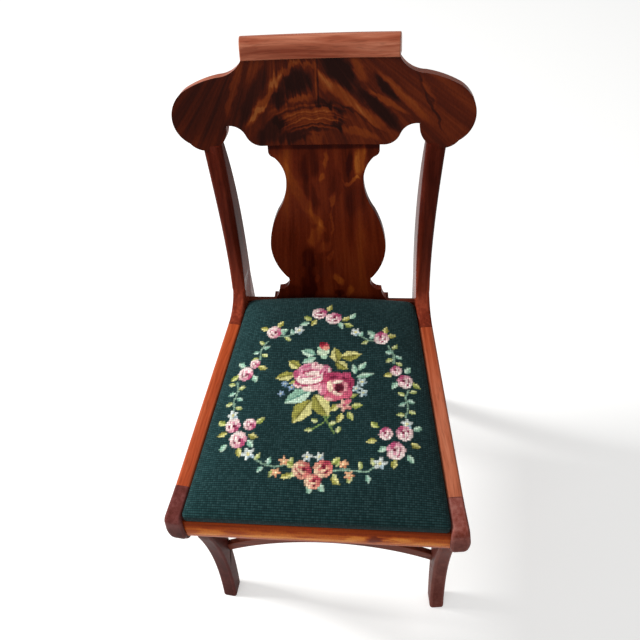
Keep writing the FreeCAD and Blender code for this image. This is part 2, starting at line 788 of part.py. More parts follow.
def splat_block():
    body = new_body("splat_sawn_block", chair.shifted(0, (splat_foot_y + splat_top_y) / 2, 0))
    pad(body, draw(new_sketch(body, "XZ_Plane"), splat_outline()), s.chair_depth / 2)
    return body


def splat_sheet(name, near, far):
    """A sheet bent to the splat's hollow, between two depths behind its face."""
    body = new_body(name, chair)
    middle_y = (splat_foot_y + splat_top_y) / 2 - s.splat_bow
    middle_z = (s.seat_height + splat_top_z) / 2
    far, near = as_size(far), as_size(near)
    outline = [
        (splat_foot_y + far, s.seat_height),
        (middle_y + far, middle_z, splat_top_y + far, splat_top_z),
        (splat_top_y + near, splat_top_z),
        (middle_y + near, middle_z, splat_foot_y + near, s.seat_height),
    ]
    pad(body, draw(new_sketch(body, "YZ_Plane"), outline), s.splat_belly_half * 3)
    return body


def splat_foot_tenon(room=0):
    middle_y = splat_foot_y + s.veneer_thickness + s.splat_thickness / 2
    half_y = s.splat_tenon_thickness / 2 + room
    half_x = s.splat_tenon_half + room
    low = (-half_x, middle_y - half_y, s.seat_height - s.splat_tenon_length - room)
    return new_box(chair, low, (half_x, middle_y + half_y, s.seat_height + s.splat_quirk))


def splat_top_tenon(room=0):
    middle_y = s.splat_inset + s.veneer_thickness + s.splat_thickness / 2
    half_y = s.splat_tenon_thickness / 2 + room
    half_x = s.splat_tenon_half + room
    low = (-half_x, middle_y - half_y, -s.crest_drop - s.splat_quirk)
    return new_box(crest_face, low, (half_x, middle_y + half_y, -s.crest_drop + s.splat_tenon_length + room))


# Ledges that carry the drop-in seat, and the glue blocks under them
ledge_bottom = ledge_top - s.ledge_height


def side_ledge(label, side):
    near, far = half_plank, half_plank + s.ledge_width
    low_x, high_x = (-far, -near) if side > 0 else (near, far)
    first = s.front_rail_setback + s.veneer_thickness + s.front_rail_thickness + s.ledge_width
    last = s.seat_depth - s.ledge_width * 2
    low = (low_x, first, ledge_bottom)
    return name_node(label, new_box(side_frame(side), low, (high_x, last, ledge_top)))


def rear_ledge():
    low_y = rear_rail_front - s.ledge_width
    half = inner_half(rear_rail_front) - s.ledge_width * 1.5
    return name_node(
        "rear_seat_ledge", new_box(chair, (-half, low_y, ledge_bottom), (half, rear_rail_front, ledge_top))
    )


def glue_block(label, side, corner_y, direction):
    """A three-cornered block against a cross rail and the side plank beside it."""
    body = new_body(label + "_wedge", chair.shifted(0, 0, ledge_bottom - s.glue_block_height / 2))
    far_y = corner_y + s.glue_block_leg * direction
    outline = [
        (inner_half(corner_y) * side, corner_y),
        (inner_half(far_y) * side, far_y),
        ((inner_half(corner_y) - s.glue_block_leg) * side, corner_y),
    ]
    pad(body, draw(new_sketch(body, "XY_Plane"), outline), s.glue_block_height)
    return name_node(label, body)


# Drop-in seat: frame, webbing, hessian, stuffing and needlepoint cover
seat_front = front_rail_face
seat_rear = rear_rail_front - s.seat_gap
frame_bottom = ledge_top + s.cover_thickness
frame_top = frame_bottom + s.seat_frame_thickness
web_top = frame_top + s.webbing_thickness * 2
hessian_top = web_top + s.hessian_thickness
frame_inset = s.cover_thickness + clear


# Levels of the cushion from its edge to its crown, as shares of its reach inwards and of its rise
CUSHION_LEVELS = [
    (0.0, 0.0),
    (0.008, 0.1),
    (0.03, 0.19),
    (0.085, 0.31),
    (0.22, 0.5),
    (0.46, 0.74),
    (0.73, 0.92),
    (1.0, 1.0),
]


def seat_outline(inset, height, grow_corners=0.0):
    """A level outline of the seat, its four sides moved in by inset, as a wire of lines and arcs."""
    lean = math.radians(splay.value)
    front_y = seat_front.value + inset
    rear_y = seat_rear.value - inset
    side_in = (s.seat_gap.value + inset) / math.cos(lean)
    corners = []
    for x_sign, y in ((1, front_y), (1, rear_y), (-1, rear_y), (-1, front_y)):
        x = inner_half(as_size(y)).value - side_in
        round_off = s.seat_front_corner if y == front_y else s.seat_corner_round
        corners.append((Vector(x * x_sign, y, height), round_off.value + grow_corners * inset))
    arcs, starts, ends = [], [], []
    for index, (corner, radius) in enumerate(corners):
        before = (corners[index - 1][0] - corner).normalize()
        after = (corners[(index + 1) % 4][0] - corner).normalize()
        half_angle = before.getAngle(after) / 2
        reach = radius / math.tan(half_angle)
        middle = (before + after).normalize() * (radius / math.sin(half_angle) - radius)
        starts.append(corner + before * reach)
        ends.append(corner + after * reach)
        arcs.append(Part.Arc(starts[-1], corner + middle, ends[-1]).toShape())
    edges = []
    for index in range(4):
        edges.append(arcs[index])
        edges.append(Part.LineSegment(ends[index], starts[(index + 1) % 4]).toShape())
    return Part.Wire(edges)


def seat_prism(inset, low, high):
    face = Part.Face(seat_outline(inset, low.value))
    return face.extrude(Vector(0, 0, high.value - low.value))


def seat_cushion(skin, foot):
    """The crowned form of the seat, its skin taken off all round: upright sides, rounded edge, low dome."""
    edge = frame_top.value + s.webbing_thickness.value - skin
    crown = s.seat_crown.value
    reach = (seat_rear.value - seat_front.value) * 0.24
    wires = [seat_outline(skin, foot.value)]
    for share, rise in CUSHION_LEVELS:
        wires.append(seat_outline(reach * share + skin, edge + crown * rise, 0.25))
    return Part.makeLoft(wires, True, True)


def soft_piece(label, shape):
    piece = doc.addObject("Part::Feature", label)
    piece.Shape = shape
    piece.Placement = FreeCAD.Placement()
    return name_node(label, piece)


def seat_frame():
    """Four rails, butted and dowelled at the corners, and the dowels."""
    ring = seat_prism(frame_inset.value, frame_bottom, frame_top)
    opening = seat_prism((frame_inset + s.seat_frame_width).value, frame_bottom, frame_top)
    ring = ring.cut(opening)
    wide = s.seat_front_width.value
    first = (seat_front + frame_inset + s.seat_frame_width).value
    last = (seat_rear - frame_inset - s.seat_frame_width).value
    height = s.seat_frame_thickness.value
    bottom = frame_bottom.value
    zones = {
        "seat_frame_front": ((-wide, first - wide), (wide, first)),
        "seat_frame_rear": ((-wide, last), (wide, last + wide)),
        "seat_frame_right": ((0, first), (wide, last)),
        "seat_frame_left": ((-wide, first), (0, last)),
    }
    radius = s.dowel_diameter.value / 2
    length = s.dowel_length.value
    pegs, holes = [], []
    for y in (first, last):
        middle_x = inner_half(as_size(y)).value - s.seat_gap.value - s.seat_frame_width.value / 2
        for x_sign in (1, -1):
            for shift in (-1, 1):
                x = x_sign * middle_x + shift * s.seat_frame_width.value / 4
                for room, pieces in ((0.0, pegs), (clear.value, holes)):
                    start = Vector(x, y - length / 2 - room, bottom + height / 2)
                    pieces.append(Part.makeCylinder(radius + room, length + 2 * room, start, Vector(0, 1, 0)))
    for label, ((low_x, low_y), (high_x, high_y)) in zones.items():
        zone = Part.makeBox(high_x - low_x, high_y - low_y, height, Vector(low_x, low_y, bottom))
        soft_piece(label, ring.common(zone).cut(Part.makeCompound(holes)))
    soft_piece("seat_frame_dowels", Part.makeCompound(pegs))


def seat_webbing():
    """Webs from front to back, and webs from side to side on top of them."""
    inset = s.hessian_margin.value
    limit = seat_prism(inset, frame_top, web_top)
    wide, thick = s.webbing_width.value, s.webbing_thickness.value
    middle_y = (seat_front.value + seat_rear.value) / 2
    far = s.chair_depth.value
    strips = []
    for place in (-1, 0, 1):
        offset = place * s.webbing_spacing.value
        along = Part.makeBox(wide, far, thick, Vector(offset - wide / 2, -far / 2, frame_top.value))
        across_corner = Vector(-far / 2, middle_y + offset - wide / 2, frame_top.value + thick)
        across = Part.makeBox(far, wide, thick, across_corner)
        strips += [limit.common(along), limit.common(across)]
    return soft_piece("seat_webbing", Part.makeCompound([strip.Solids[0] for strip in strips]))


def seat_cover_and_stuffing():
    skin = s.cover_thickness.value
    outer = seat_cushion(0.0, ledge_top)
    inner = seat_cushion(skin, frame_bottom)
    opening_bottom = ledge_top - s.cover_thickness
    opening = seat_prism(s.cover_turn_under.value, opening_bottom, frame_bottom + s.cover_thickness)
    soft_piece("needlepoint_cover", outer.cut(inner).cut(opening))
    web_room = seat_prism(s.hessian_margin.value, frame_top - s.webbing_thickness, hessian_top)
    soft_piece("seat_stuffing", seat_cushion(skin, frame_top).cut(web_room))
    soft_piece("seat_hessian", seat_prism(s.hessian_margin.value, web_top, hessian_top))


def cover_tacks():
    """A row of tacks under the frame, through the turned-under margin of the cover."""
    row = seat_outline(s.tack_margin.value, ledge_top.value)
    count = round(row.Length / s.tack_spacing.value)
    tacks = []
    for spot in row.discretize(Number=count + 1)[:-1]:
        wide = s.tack_head_diameter.value
        head = Part.makeCylinder(wide / 2, s.tack_head_thickness.value, spot, Vector(0, 0, -1))
        point = Part.makeCone(wide / 7, wide / 30, s.tack_length.value, spot)
        tacks.append(head.fuse(point))
    return soft_piece("cover_tacks", Part.makeCompound(tacks))


# Building the chair, from the seat frame up
front_mortises = cross_tenons(front_core_face, s.front_rail_thickness, front_rail_middle, clear)
rear_mortises = cross_tenons(rear_rail_front, s.rear_rail_thickness, (s.seat_height + rail_bottom) / 2, clear)
stretcher_sockets = stretcher_form(clear)
crest_sawn = crest_block()
crest_envelope = common(bent_board("crest_full_thickness", 0, crest_depth), crest_sawn)

for side_name, side in SIDES.items():
    side_rail(f"{side_name}_side_rail", side)
    rail_mortises = rail_tenons(side, clear)
    front_leg(f"{side_name}_front_leg", side, rail_mortises, front_mortises, stretcher_sockets)
    post_name = f"{side_name}_rear_post"
    post = rear_post(post_name, side, stile_top_height, rail_mortises, rear_mortises, crest_envelope)
    name_node(f"{side_name}_rear_post", fuse(post, stile_tenon(side)))
    side_ledge(f"{side_name}_seat_ledge", side)
    glue_block(f"front_{side_name}_glue_block", side, front_rail_back, 1)
    glue_block(f"rear_{side_name}_glue_block", side, rear_rail_front, -1)

front_rail()
front_rail_veneer()
name_node("front_stretcher", stretcher_form())
rear_rail(splat_foot_tenon(clear))
rear_ledge()

DOWEL_PLACES = (-1, 0, 1)
dowel_holes = [roll_dowel(place, clear) for place in DOWEL_PLACES]
crest_mortises = [stile_tenon(side, clear) for side in SIDES.values()] + [splat_top_tenon(clear)]
crest_core = common(bent_board("crest_core", s.veneer_thickness, crest_depth), crest_sawn)
name_node("crest_board", cut(crest_core, *crest_mortises, *dowel_holes))
name_node("crest_veneer", common(bent_board("crest_face_veneer", 0, s.veneer_thickness), crest_sawn))
name_node("crest_roll", cut(crest_roll(), *dowel_holes))
name_node("crest_roll_dowels", group([roll_dowel(place) for place in DOWEL_PLACES]))

splat_sawn = splat_block()
splat_depth = s.veneer_thickness + s.splat_thickness
splat_core_sheet = splat_sheet("splat_core", s.veneer_thickness, splat_depth)
splat_core = cut(common(splat_core_sheet, splat_sawn), crest_envelope)
name_node("splat_board", fuse(splat_core, splat_foot_tenon(), splat_top_tenon()))
splat_face = common(splat_sheet("splat_face", 0, s.veneer_thickness), splat_sawn)
name_node("splat_veneer", cut(splat_face, crest_envelope))

doc.recompute()
seat_frame()
seat_webbing()
seat_cover_and_stuffing()
cover_tacks()
doc.recompute()

# Checks before anything is written
for thing in doc.Objects:
    if {"Invalid", "Error"} & set(thing.State):
        raise RuntimeError(f"{thing.Label} did not build: {thing.State}")
for thing in nodes:
    if thing.Shape.isNull() or not thing.Shape.isValid() or not thing.Shape.Solids:
        raise RuntimeError(f"{thing.Label} has no valid solid")

os.makedirs("parts", exist_ok=True)
for thing in nodes:
    thing.Shape.exportStep(f"parts/{thing.Label}.step")
    box = thing.Shape.BoundBox
    print(f"{thing.Label}: {len(thing.Shape.Solids)} solid(s), {thing.Shape.Volume / 1000:.1f} cm3,"
          f" {box.XLength:.1f} x {box.YLength:.1f} x {box.ZLength:.1f}")
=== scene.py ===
"""Empire side chair: mahogany frame with a crotch veneered back and a drop-in needlepoint seat."""
import math

import bmesh
import bpy
import numpy as np
from mathutils import Matrix, Vector


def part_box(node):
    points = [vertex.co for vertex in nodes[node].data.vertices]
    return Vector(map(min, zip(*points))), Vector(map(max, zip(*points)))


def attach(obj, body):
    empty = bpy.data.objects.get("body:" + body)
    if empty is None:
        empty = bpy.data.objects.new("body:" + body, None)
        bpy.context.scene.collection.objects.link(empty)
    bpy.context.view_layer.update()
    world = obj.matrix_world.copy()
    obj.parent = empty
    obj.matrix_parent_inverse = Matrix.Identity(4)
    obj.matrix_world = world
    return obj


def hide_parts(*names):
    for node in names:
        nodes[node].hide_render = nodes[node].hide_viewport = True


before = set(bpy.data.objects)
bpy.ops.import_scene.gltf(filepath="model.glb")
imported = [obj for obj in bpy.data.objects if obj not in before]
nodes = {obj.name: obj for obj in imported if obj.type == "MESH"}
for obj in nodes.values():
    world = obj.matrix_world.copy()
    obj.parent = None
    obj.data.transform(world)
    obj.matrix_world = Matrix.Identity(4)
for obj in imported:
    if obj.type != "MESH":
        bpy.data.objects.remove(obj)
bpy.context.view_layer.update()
scene = bpy.context.scene
scene.view_settings.view_transform = "Standard"


# The camera stands close in front of the chair and looks steeply down at it,
# so the back and the seat show and the legs are strongly foreshortened.

eye = Vector((0.09677, -0.68437, 1.39823))
heading = math.radians(-10.27)
dip = math.radians(-48.93)
lean = math.radians(-7.125)
ahead = Vector((math.sin(heading) * math.cos(dip), math.cos(heading) * math.cos(dip), math.sin(dip)))
level = Vector((math.cos(heading), -math.sin(heading), 0))
upward = level.cross(ahead)
right_hand = level * math.cos(lean) + upward * math.sin(lean)
overhead = upward * math.cos(lean) - level * math.sin(lean)

# The lens and the point it aims at, in pixels of a square picture.
picture = 640
focal_length = 762.3
aim_across, aim_down = 299.3, 300.05
sensor = 36

camera_data = bpy.data.cameras.new("photo_camera")
camera_data.sensor_width = sensor
camera_data.lens = sensor * focal_length / picture
camera_data.shift_x = (picture / 2 - aim_across) / picture
camera_data.shift_y = (aim_down - picture / 2) / picture
camera = bpy.data.objects.new("photo_camera", camera_data)
camera.matrix_world = Matrix.Translation(eye) @ Matrix((right_hand, overhead, -ahead)).transposed().to_4x4()
scene.collection.objects.link(camera)
scene.camera = camera


# The studio: a white paper floor under an even white sky, one soft lamp high on the left
# and a weak one at the front. The floor looks white to the camera and still takes a shadow.

def linear(hex_colour):
    """An sRGB hex colour as the linear colour that shaders use."""
    parts = [int(hex_colour[i:i + 2], 16) / 255 for i in (1, 3, 5)]
    return tuple(p / 12.92 if p <= 0.04045 else ((p + 0.055) / 1.055) ** 2.4 for p in parts) + (1,)


def add(tree, kind, inputs=None, stops=None, give=0, **settings):
    """Adds a shader node, sets its properties and colour stops, fills its inputs with values or links,
    and gives back one of its outputs."""
    node = tree.nodes.new("ShaderNode" + kind)
    for name, value in settings.items():
        setattr(node, name, value)
    if stops:
        ramp = node.color_ramp.elements
        while len(ramp) < len(stops):
            ramp.new(1)
        for element, (place, colour) in zip(ramp, stops):
            element.position = place
            element.color = colour
    for name, value in (inputs or {}).items():
        if isinstance(value, bpy.types.NodeSocket):
            tree.links.new(value, node.inputs[name])
        else:
            node.inputs[name].default_value = value
    return node.outputs[give] if node.outputs else None


def new_material(name):
    """An empty node material and its tree."""
    material = bpy.data.materials.new(name)
    material.use_nodes = True
    material.node_tree.nodes.clear()
    return material, material.node_tree


def seen_directly(tree):
    """1 where the camera, a mirror reflection or a view through glass looks, 0 for soft light."""
    path = add(tree, "LightPath").node.outputs
    two = {0: path["Is Camera Ray"], 1: path["Is Glossy Ray"]}
    mirror = add(tree, "Math", two, operation="MAXIMUM")
    three = {0: mirror, 1: path["Is Transmission Ray"]}
    return add(tree, "Math", three, operation="MAXIMUM")


world = bpy.data.worlds.new("white_studio")
scene.world = world
world.use_nodes = True
sky = world.node_tree
sky.nodes.clear()
soft_sky = add(sky, "Background", {"Color": linear("#ffffff"), "Strength": 0.4})
white_sky = add(sky, "Background", {"Color": linear("#ffffff"), "Strength": 1.0})
both_skies = {0: seen_directly(sky), 1: soft_sky, 2: white_sky}
sky_shader = add(sky, "MixShader", both_skies)
add(sky, "OutputWorld", {"Surface": sky_shader})

floor_shape = bmesh.new()
bmesh.ops.create_grid(floor_shape, x_segments=1, y_segments=1, size=5)
floor_mesh = bpy.data.meshes.new("paper_floor")
floor_shape.to_mesh(floor_mesh)
floor_shape.free()
floor = bpy.data.objects.new("paper_floor", floor_mesh)
scene.collection.objects.link(floor)

# White studio paper: matt, and lifted to full white for the camera so only the shadow shows.
paper, tree = new_material("white_studio_paper")
matt = add(tree, "BsdfDiffuse", {"Color": linear("#e4e4e2")})
glow = add(tree, "Emission", {"Color": linear("#ffffff"), "Strength": 0.45})
lifted = add(tree, "AddShader", {0: matt, 1: glow})
paper_mix = {0: seen_directly(tree), 1: matt, 2: lifted}
paper_shader = add(tree, "MixShader", paper_mix)
add(tree, "OutputMaterial", {"Surface": paper_shader})
floor_mesh.materials.append(paper)

for lamp_name, place, target, size, power in (
    ("key_lamp", (-2.2, 0.2, 2.2), (0, 0, 0.45), 0.55, 78),
    ("front_lamp", (-0.9, -2.2, 1.5), (0, 0, 0.5), 1.6, 10),
):
    lamp_data = bpy.data.lights.new(lamp_name, "AREA")
    lamp_data.size = size
    lamp_data.energy = power
    lamp = bpy.data.objects.new(lamp_name, lamp_data)
    lamp.location = place
    lamp.rotation_euler = (Vector(target) - Vector(place)).to_track_quat("-Z", "Y").to_euler()
    scene.collection.objects.link(lamp)


# Front legs: knee and sabre leg are sawn from one mahogany plank, 22 mm thick.
# The nose of the knee is worked to a full round, and the other arrises are eased by hand.

merge_within = 0.00001
flat_within = math.radians(0.4)
arris_from = math.radians(48)
smooth_below = math.radians(38)


def finished_mesh(piece):
    """The piece's mesh with its modifiers applied, put in place of the one it started from."""
    settled = piece.evaluated_get(bpy.context.evaluated_depsgraph_get())
    mesh = bpy.data.meshes.new_from_object(settled)
    piece.modifiers.clear()
    piece.data = mesh
    return mesh


def softened(node, width, body, material, share_at=None, carve=None):
    """A merged copy of a sawn CAD piece with its arrises rounded over, standing for that node.
    share_at gives the share of the width for an arris, from its middle and its two faces.
    carve works the rounded shape further by hand."""
    plank = bmesh.new()
    plank.from_mesh(nodes[node].data)
    bmesh.ops.remove_doubles(plank, verts=plank.verts, dist=merge_within)
    bmesh.ops.dissolve_limit(plank, angle_limit=flat_within, verts=plank.verts, edges=plank.edges)
    weight = plank.edges.layers.float.new("bevel_weight_edge")
    for edge in plank.edges:
        if edge.is_manifold and edge.calc_face_angle() > arris_from:
            middle = (edge.verts[0].co + edge.verts[1].co) / 2
            edge[weight] = share_at(middle, *[f.normal for f in edge.link_faces]) if share_at else 1
    mesh = bpy.data.meshes.new(node + "_rounded")
    plank.to_mesh(mesh)
    plank.free()
    mesh.materials.append(material)
    mesh.materials.append(material)
    piece = bpy.data.objects.new(node + "_rounded", mesh)
    scene.collection.objects.link(piece)
    rounding = piece.modifiers.new("rounded_arrises", "BEVEL")
    rounding.limit_method = "WEIGHT"
    rounding.width = width
    rounding.segments = 4
    rounding.profile = 0.5
    rounding.use_clamp_overlap = False
    rounding.material = 1
    mesh = finished_mesh(piece)
    worn = mesh.attributes.new("worn_edge", "FLOAT", "FACE")
    for face in mesh.polygons:
        worn.data[face.index].value = face.material_index
        face.material_index = 0
    mesh.materials.pop(index=1)
    if carve:
        plank = bmesh.new()
        plank.from_mesh(mesh)
        carve(plank)
        plank.to_mesh(mesh)
        plank.free()
    mesh.shade_smooth()
    mesh.set_sharp_from_angle(angle=smooth_below)
    even = piece.modifiers.new("even_shading", "WEIGHTED_NORMAL")
    even.keep_sharp = True
    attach(piece, body)
    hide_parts(node)
    return piece


def grained_wood(name, heart, body, bright, turn, gloss=0.2, shine=0.05, run=None):
    """Wood with its grain along the turned Z axis: streaks, a broader stripe, and fine pores.
    run is (axis, from, to, tint): the wood takes on a tint along one axis of the chair."""
    material, tree = new_material(name)
    place = add(tree, "TexCoord", give="Object")
    turned = {"Vector": place, "Rotation": turn}
    grain = add(tree, "Mapping", turned, vector_type="TEXTURE")
    # The grain wanders sideways by a few millimetres over a hand's length.
    wander = add(tree, "TexNoise", {"Vector": grain, "Scale": 7.0, "Detail": 1.0}, give="Color")
    sideways = {0: wander, 1: (0.016, 0.016, 0), 2: grain}
    grain = add(tree, "VectorMath", sideways, operation="MULTIPLY_ADD")
    # Growth streaks are about 5 mm wide and 160 mm long, the stripes about 22 mm wide.
    # Pores are drawn 1.4 mm wide and 20 mm long: the real ones, a quarter as wide, would not show.
    layers = []
    for scale, detail in (((200, 200, 6), 2.0), ((45, 45, 4), 1.0), ((700, 700, 50), 1.0)):
        stretched = add(tree, "VectorMath", {0: grain, 1: scale}, operation="MULTIPLY")
        noise = {"Vector": stretched, "Scale": 1.0, "Detail": detail, "Roughness": 0.45}
        layers.append(add(tree, "TexNoise", noise))
    streaks, stripes, pores = layers
    mixed = add(tree, "Mix", {0: 0.5, 2: streaks, 3: stripes}, data_type="FLOAT")
    tones = [(0.36, linear(heart)), (0.5, linear(body)), (0.64, linear(bright))]
    colour = add(tree, "ValToRGB", {0: mixed}, stops=tones)
    pore_range = {0: pores, 1: 0.3, 2: 0.5, 3: 0.82, 4: 1.04}
    shade = add(tree, "MapRange", pore_range, interpolation_type="SMOOTHSTEP")
    colour = add(tree, "VectorMath", {0: colour, 3: shade}, operation="SCALE")
    if run:
        axis, start, stop, tint = run
        along = add(tree, "SeparateXYZ", {0: place}, give=axis)
        span = {0: along, 1: start, 2: stop, 3: 0.0, 4: 1.0}
        fade = add(tree, "MapRange", span, interpolation_type="SMOOTHSTEP")
        tinted = add(tree, "VectorMath", {0: colour, 1: tint}, operation="MULTIPLY")
        colour = add(tree, "Mix", {0: fade, 6: colour, 7: tinted}, data_type="RGBA", give=2)
    # Handling has rubbed the rounded arrises a little paler.
    worn = add(tree, "Attribute", attribute_name="worn_edge", give="Fac")
    share = add(tree, "Math", {0: worn, 1: 0.25}, operation="MULTIPLY")
    rubbed = {0: share, 6: colour, 7: linear(bright)}
    colour = add(tree, "Mix", rubbed, data_type="RGBA", give=2)
    rough = add(tree, "MapRange", {0: streaks, 1: 0.3, 2: 0.7, 3: gloss, 4: gloss + 0.1})
    relief = add(tree, "Bump", {"Height": pores, "Strength": 0.06, "Distance": 0.0004})
    shader = add(tree, "BsdfPrincipled", {
        "Base Color": colour, "Roughness": rough, "Normal": relief,
        "IOR": 1.5, "Specular IOR Level": shine,
    })
    add(tree, "OutputMaterial", {"Surface": shader})
    return material


# Places and sizes in metres. A pair says where a form starts to show and where it is full.
splay = math.asin(0.110951)
inner_front_half = 0.18314
nose_front = -0.26
joint_back = 0.054
leg_thickness = 0.022
leg_rounding = 0.004
nose_turn = 0.404
nose_drop = 0.034
nose_swell = 0.0042
nose_bulge = 0.0016
foot_swell = 0.0024
outer_run_out, inner_run_out = (0.012, 0.036), (0.004, 0.008)
knee_rise, knee_top, knee_length = (0.31, 0.36), (0.4, 0.437), (0, 0.052)
foot_fall, bulge_rise = (0.35, 0.24), (0.36, 0.37)
roundest = 0.94
nose_cuts = 11
leg_cut_heights = (0.24, 0.27, 0.29, 0.31, 0.33, 0.345)
knee_cuts_mm = (3, 6, 9, 13, 18, 24, 30, 36, 43, 50)

# Dark mahogany under old shellac: plum brown with a soft gloss. Painted sheen: the right leg has paler
# tones than the left, and each leg is darker below the knee so that the knee top shows lighter.
leg_tones_painted_sheen = {"right": ("#783a2f", "#884b42", "#996056"), "left": ("#572a24", "#65332f", "#76433f")}
leg_wood = {
    side: grained_wood(
        f"{side}_shellacked_mahogany", *tones, (0.55, 0, 0), gloss=0.34, shine=0.016,
        run=("Z", 0.43, 0.4, (0.56, 0.46, 0.42)),
    )
    for side, tones in leg_tones_painted_sheen.items()
}


def eased_share(value, start, stop):
    """Goes smoothly from 0 at start to 1 at stop."""
    share = min(1, max(0, (value - start) / (stop - start)))
    return share * share * (3 - 2 * share)


for side, sign in (("right", 1), ("left", -1)):
    outward = Vector((math.cos(splay) * sign, math.sin(splay), 0))
    along = Vector((-math.sin(splay) * sign, math.cos(splay), 0))
    corner = Vector((inner_front_half * sign, nose_front, 0))

    def leg_share(middle, first, second):
        """Leaves the mouths of the joints sharp, and rounds the sole of the foot by half."""
        from_nose = (middle - corner).dot(along)
        over_inner = (middle - corner).dot(outward)
        rail_mouth = 0.013 < from_nose < 0.026 and 0.38 < middle.z < 0.42
        stretcher_mouth = 0.087 < from_nose < 0.0985 and 0.125 < middle.z < 0.162
        on_side = min(abs(over_inner), abs(over_inner - leg_thickness)) < 0.0003
        if middle.z < 0.001 and not on_side:
            return 0.5
        at_side_rail = from_nose > joint_back - 0.001 and middle.z > 0.3865
        return 0 if not on_side or rail_mouth or stretcher_mouth or at_side_rail else 1

    def round_nose(plank):
        """Works the lower corners of the nose to a round end that runs out under the knee.
        The knee swells outward to its nose, and the leg below it inward."""
        heights = [nose_turn - nose_drop * step / (nose_cuts - 1) for step in range(nose_cuts)]
        cuts = [((0, 0, height), (0, 0, 1)) for height in heights + list(leg_cut_heights)]
        cuts += [(corner + along * back / 1000, along) for back in knee_cuts_mm]
        for place, way in cuts:
            everything = plank.verts[:] + plank.edges[:] + plank.faces[:]
            bmesh.ops.bisect_plane(plank, geom=everything, plane_co=place, plane_no=way)
        for vert in plank.verts:
            back = (vert.co - corner).dot(along)
            off = (vert.co - corner).dot(outward) - leg_thickness / 2
            height = vert.co.z
            fall = min(roundest, max(0, (nose_turn - height) / nose_drop))
            kept = eased_share(back, *(outer_run_out if off > 0 else inner_run_out))
            vert.co += outward * off * (math.sqrt(1 - fall * fall) - 1) * (1 - kept)
            side_share = off / leg_thickness * 2
            if off > 0:
                knee = eased_share(height, *knee_rise) * (1 - eased_share(back, *knee_length))
                knee *= 1 - 0.8 * eased_share(height, *knee_top)
                vert.co += outward * nose_swell * knee * side_share
            else:
                vert.co += outward * foot_swell * eased_share(height, *foot_fall) * side_share
                vert.co += outward * nose_bulge * eased_share(height, *bulge_rise) * (1 - kept) * side_share

    softened(
        f"{side}_front_leg", leg_rounding, "chair_frame", leg_wood[side], leg_share, round_nose
    )


# Side rails: straight mahogany planks on edge, tenoned between the knee and the rear post.
# They are lighter and more orange than the legs, and their top edges are rubbed bright.

# Painted sheen: the right rail's tones are paler and pinker than the left rail's.
rail_tones_painted_sheen = {"right": ("#985239", "#ae5f42", "#c27456"), "left": ("#8f3b20", "#a64828", "#c0603b")}
rear_tints = {"right": (0.8, 0.5, 0.34), "left": (1.0, 0.92, 0.74)}
rail_rounding = 0.0045
knee_joint, post_joint = -0.2, 0.07


def rail_share(middle, first, second):
    """Rounds the rail's arrises between its two joints, not the tenons."""
    return 1 if knee_joint < middle.y < post_joint else 0


# Mahogany rubbed by use: orange brown with a soft shine, redder towards the posts.
for side, sign in (("right", 1), ("left", -1)):
    rail_wood = grained_wood(
        f"{side}_rail_mahogany", *rail_tones_painted_sheen[side], (math.radians(90), 0, sign * splay), gloss=0.18,
        run=("Y", -0.15, 0.09, rear_tints[side]),
    )
    softened(f"{side}_side_rail", rail_rounding, "chair_frame", rail_wood, rail_share)


# Rear posts: stile and rear leg are one mahogany plank, sawn to a double curve,
# rounded along the front and swept forward into the side rail at the seat.

post_rounding = 0.0045
back_arris_share = 0.36

# Mahogany under thick red shellac: a nearly black red that warms where the post flares to the rail.
post_wood = grained_wood(
    "red_shellacked_mahogany", "#40130a", "#4e1a0f", "#5e2416", (-0.12, 0, 0), gloss=0.14, shine=0.02,
    run=("Z", 0.58, 0.44, (2.7, 3.0, 3.0)),
)


def post_share(middle, first, second):
    """Rounds the flare at the seat fully, and the back arris behind it a little."""
    no_level_face = max(abs(first.z), abs(second.z)) < 0.99
    flare = 0.4369 < middle.z < 0.4699 and middle.y < 0.14
    back_arris = middle.y > 0.17 and 0.4 < middle.z < 0.46
    if flare:
        return 1
    return back_arris_share if back_arris and no_level_face else 0


for side in ("right", "left"):
    softened(f"{side}_rear_post", post_rounding, "chair_frame", post_wood, post_share)


# Front rail: a plain core with a figured mahogany veneer on its gently rounded face.
# The veneer is brightest in the middle of the face and dark red along the top edge.

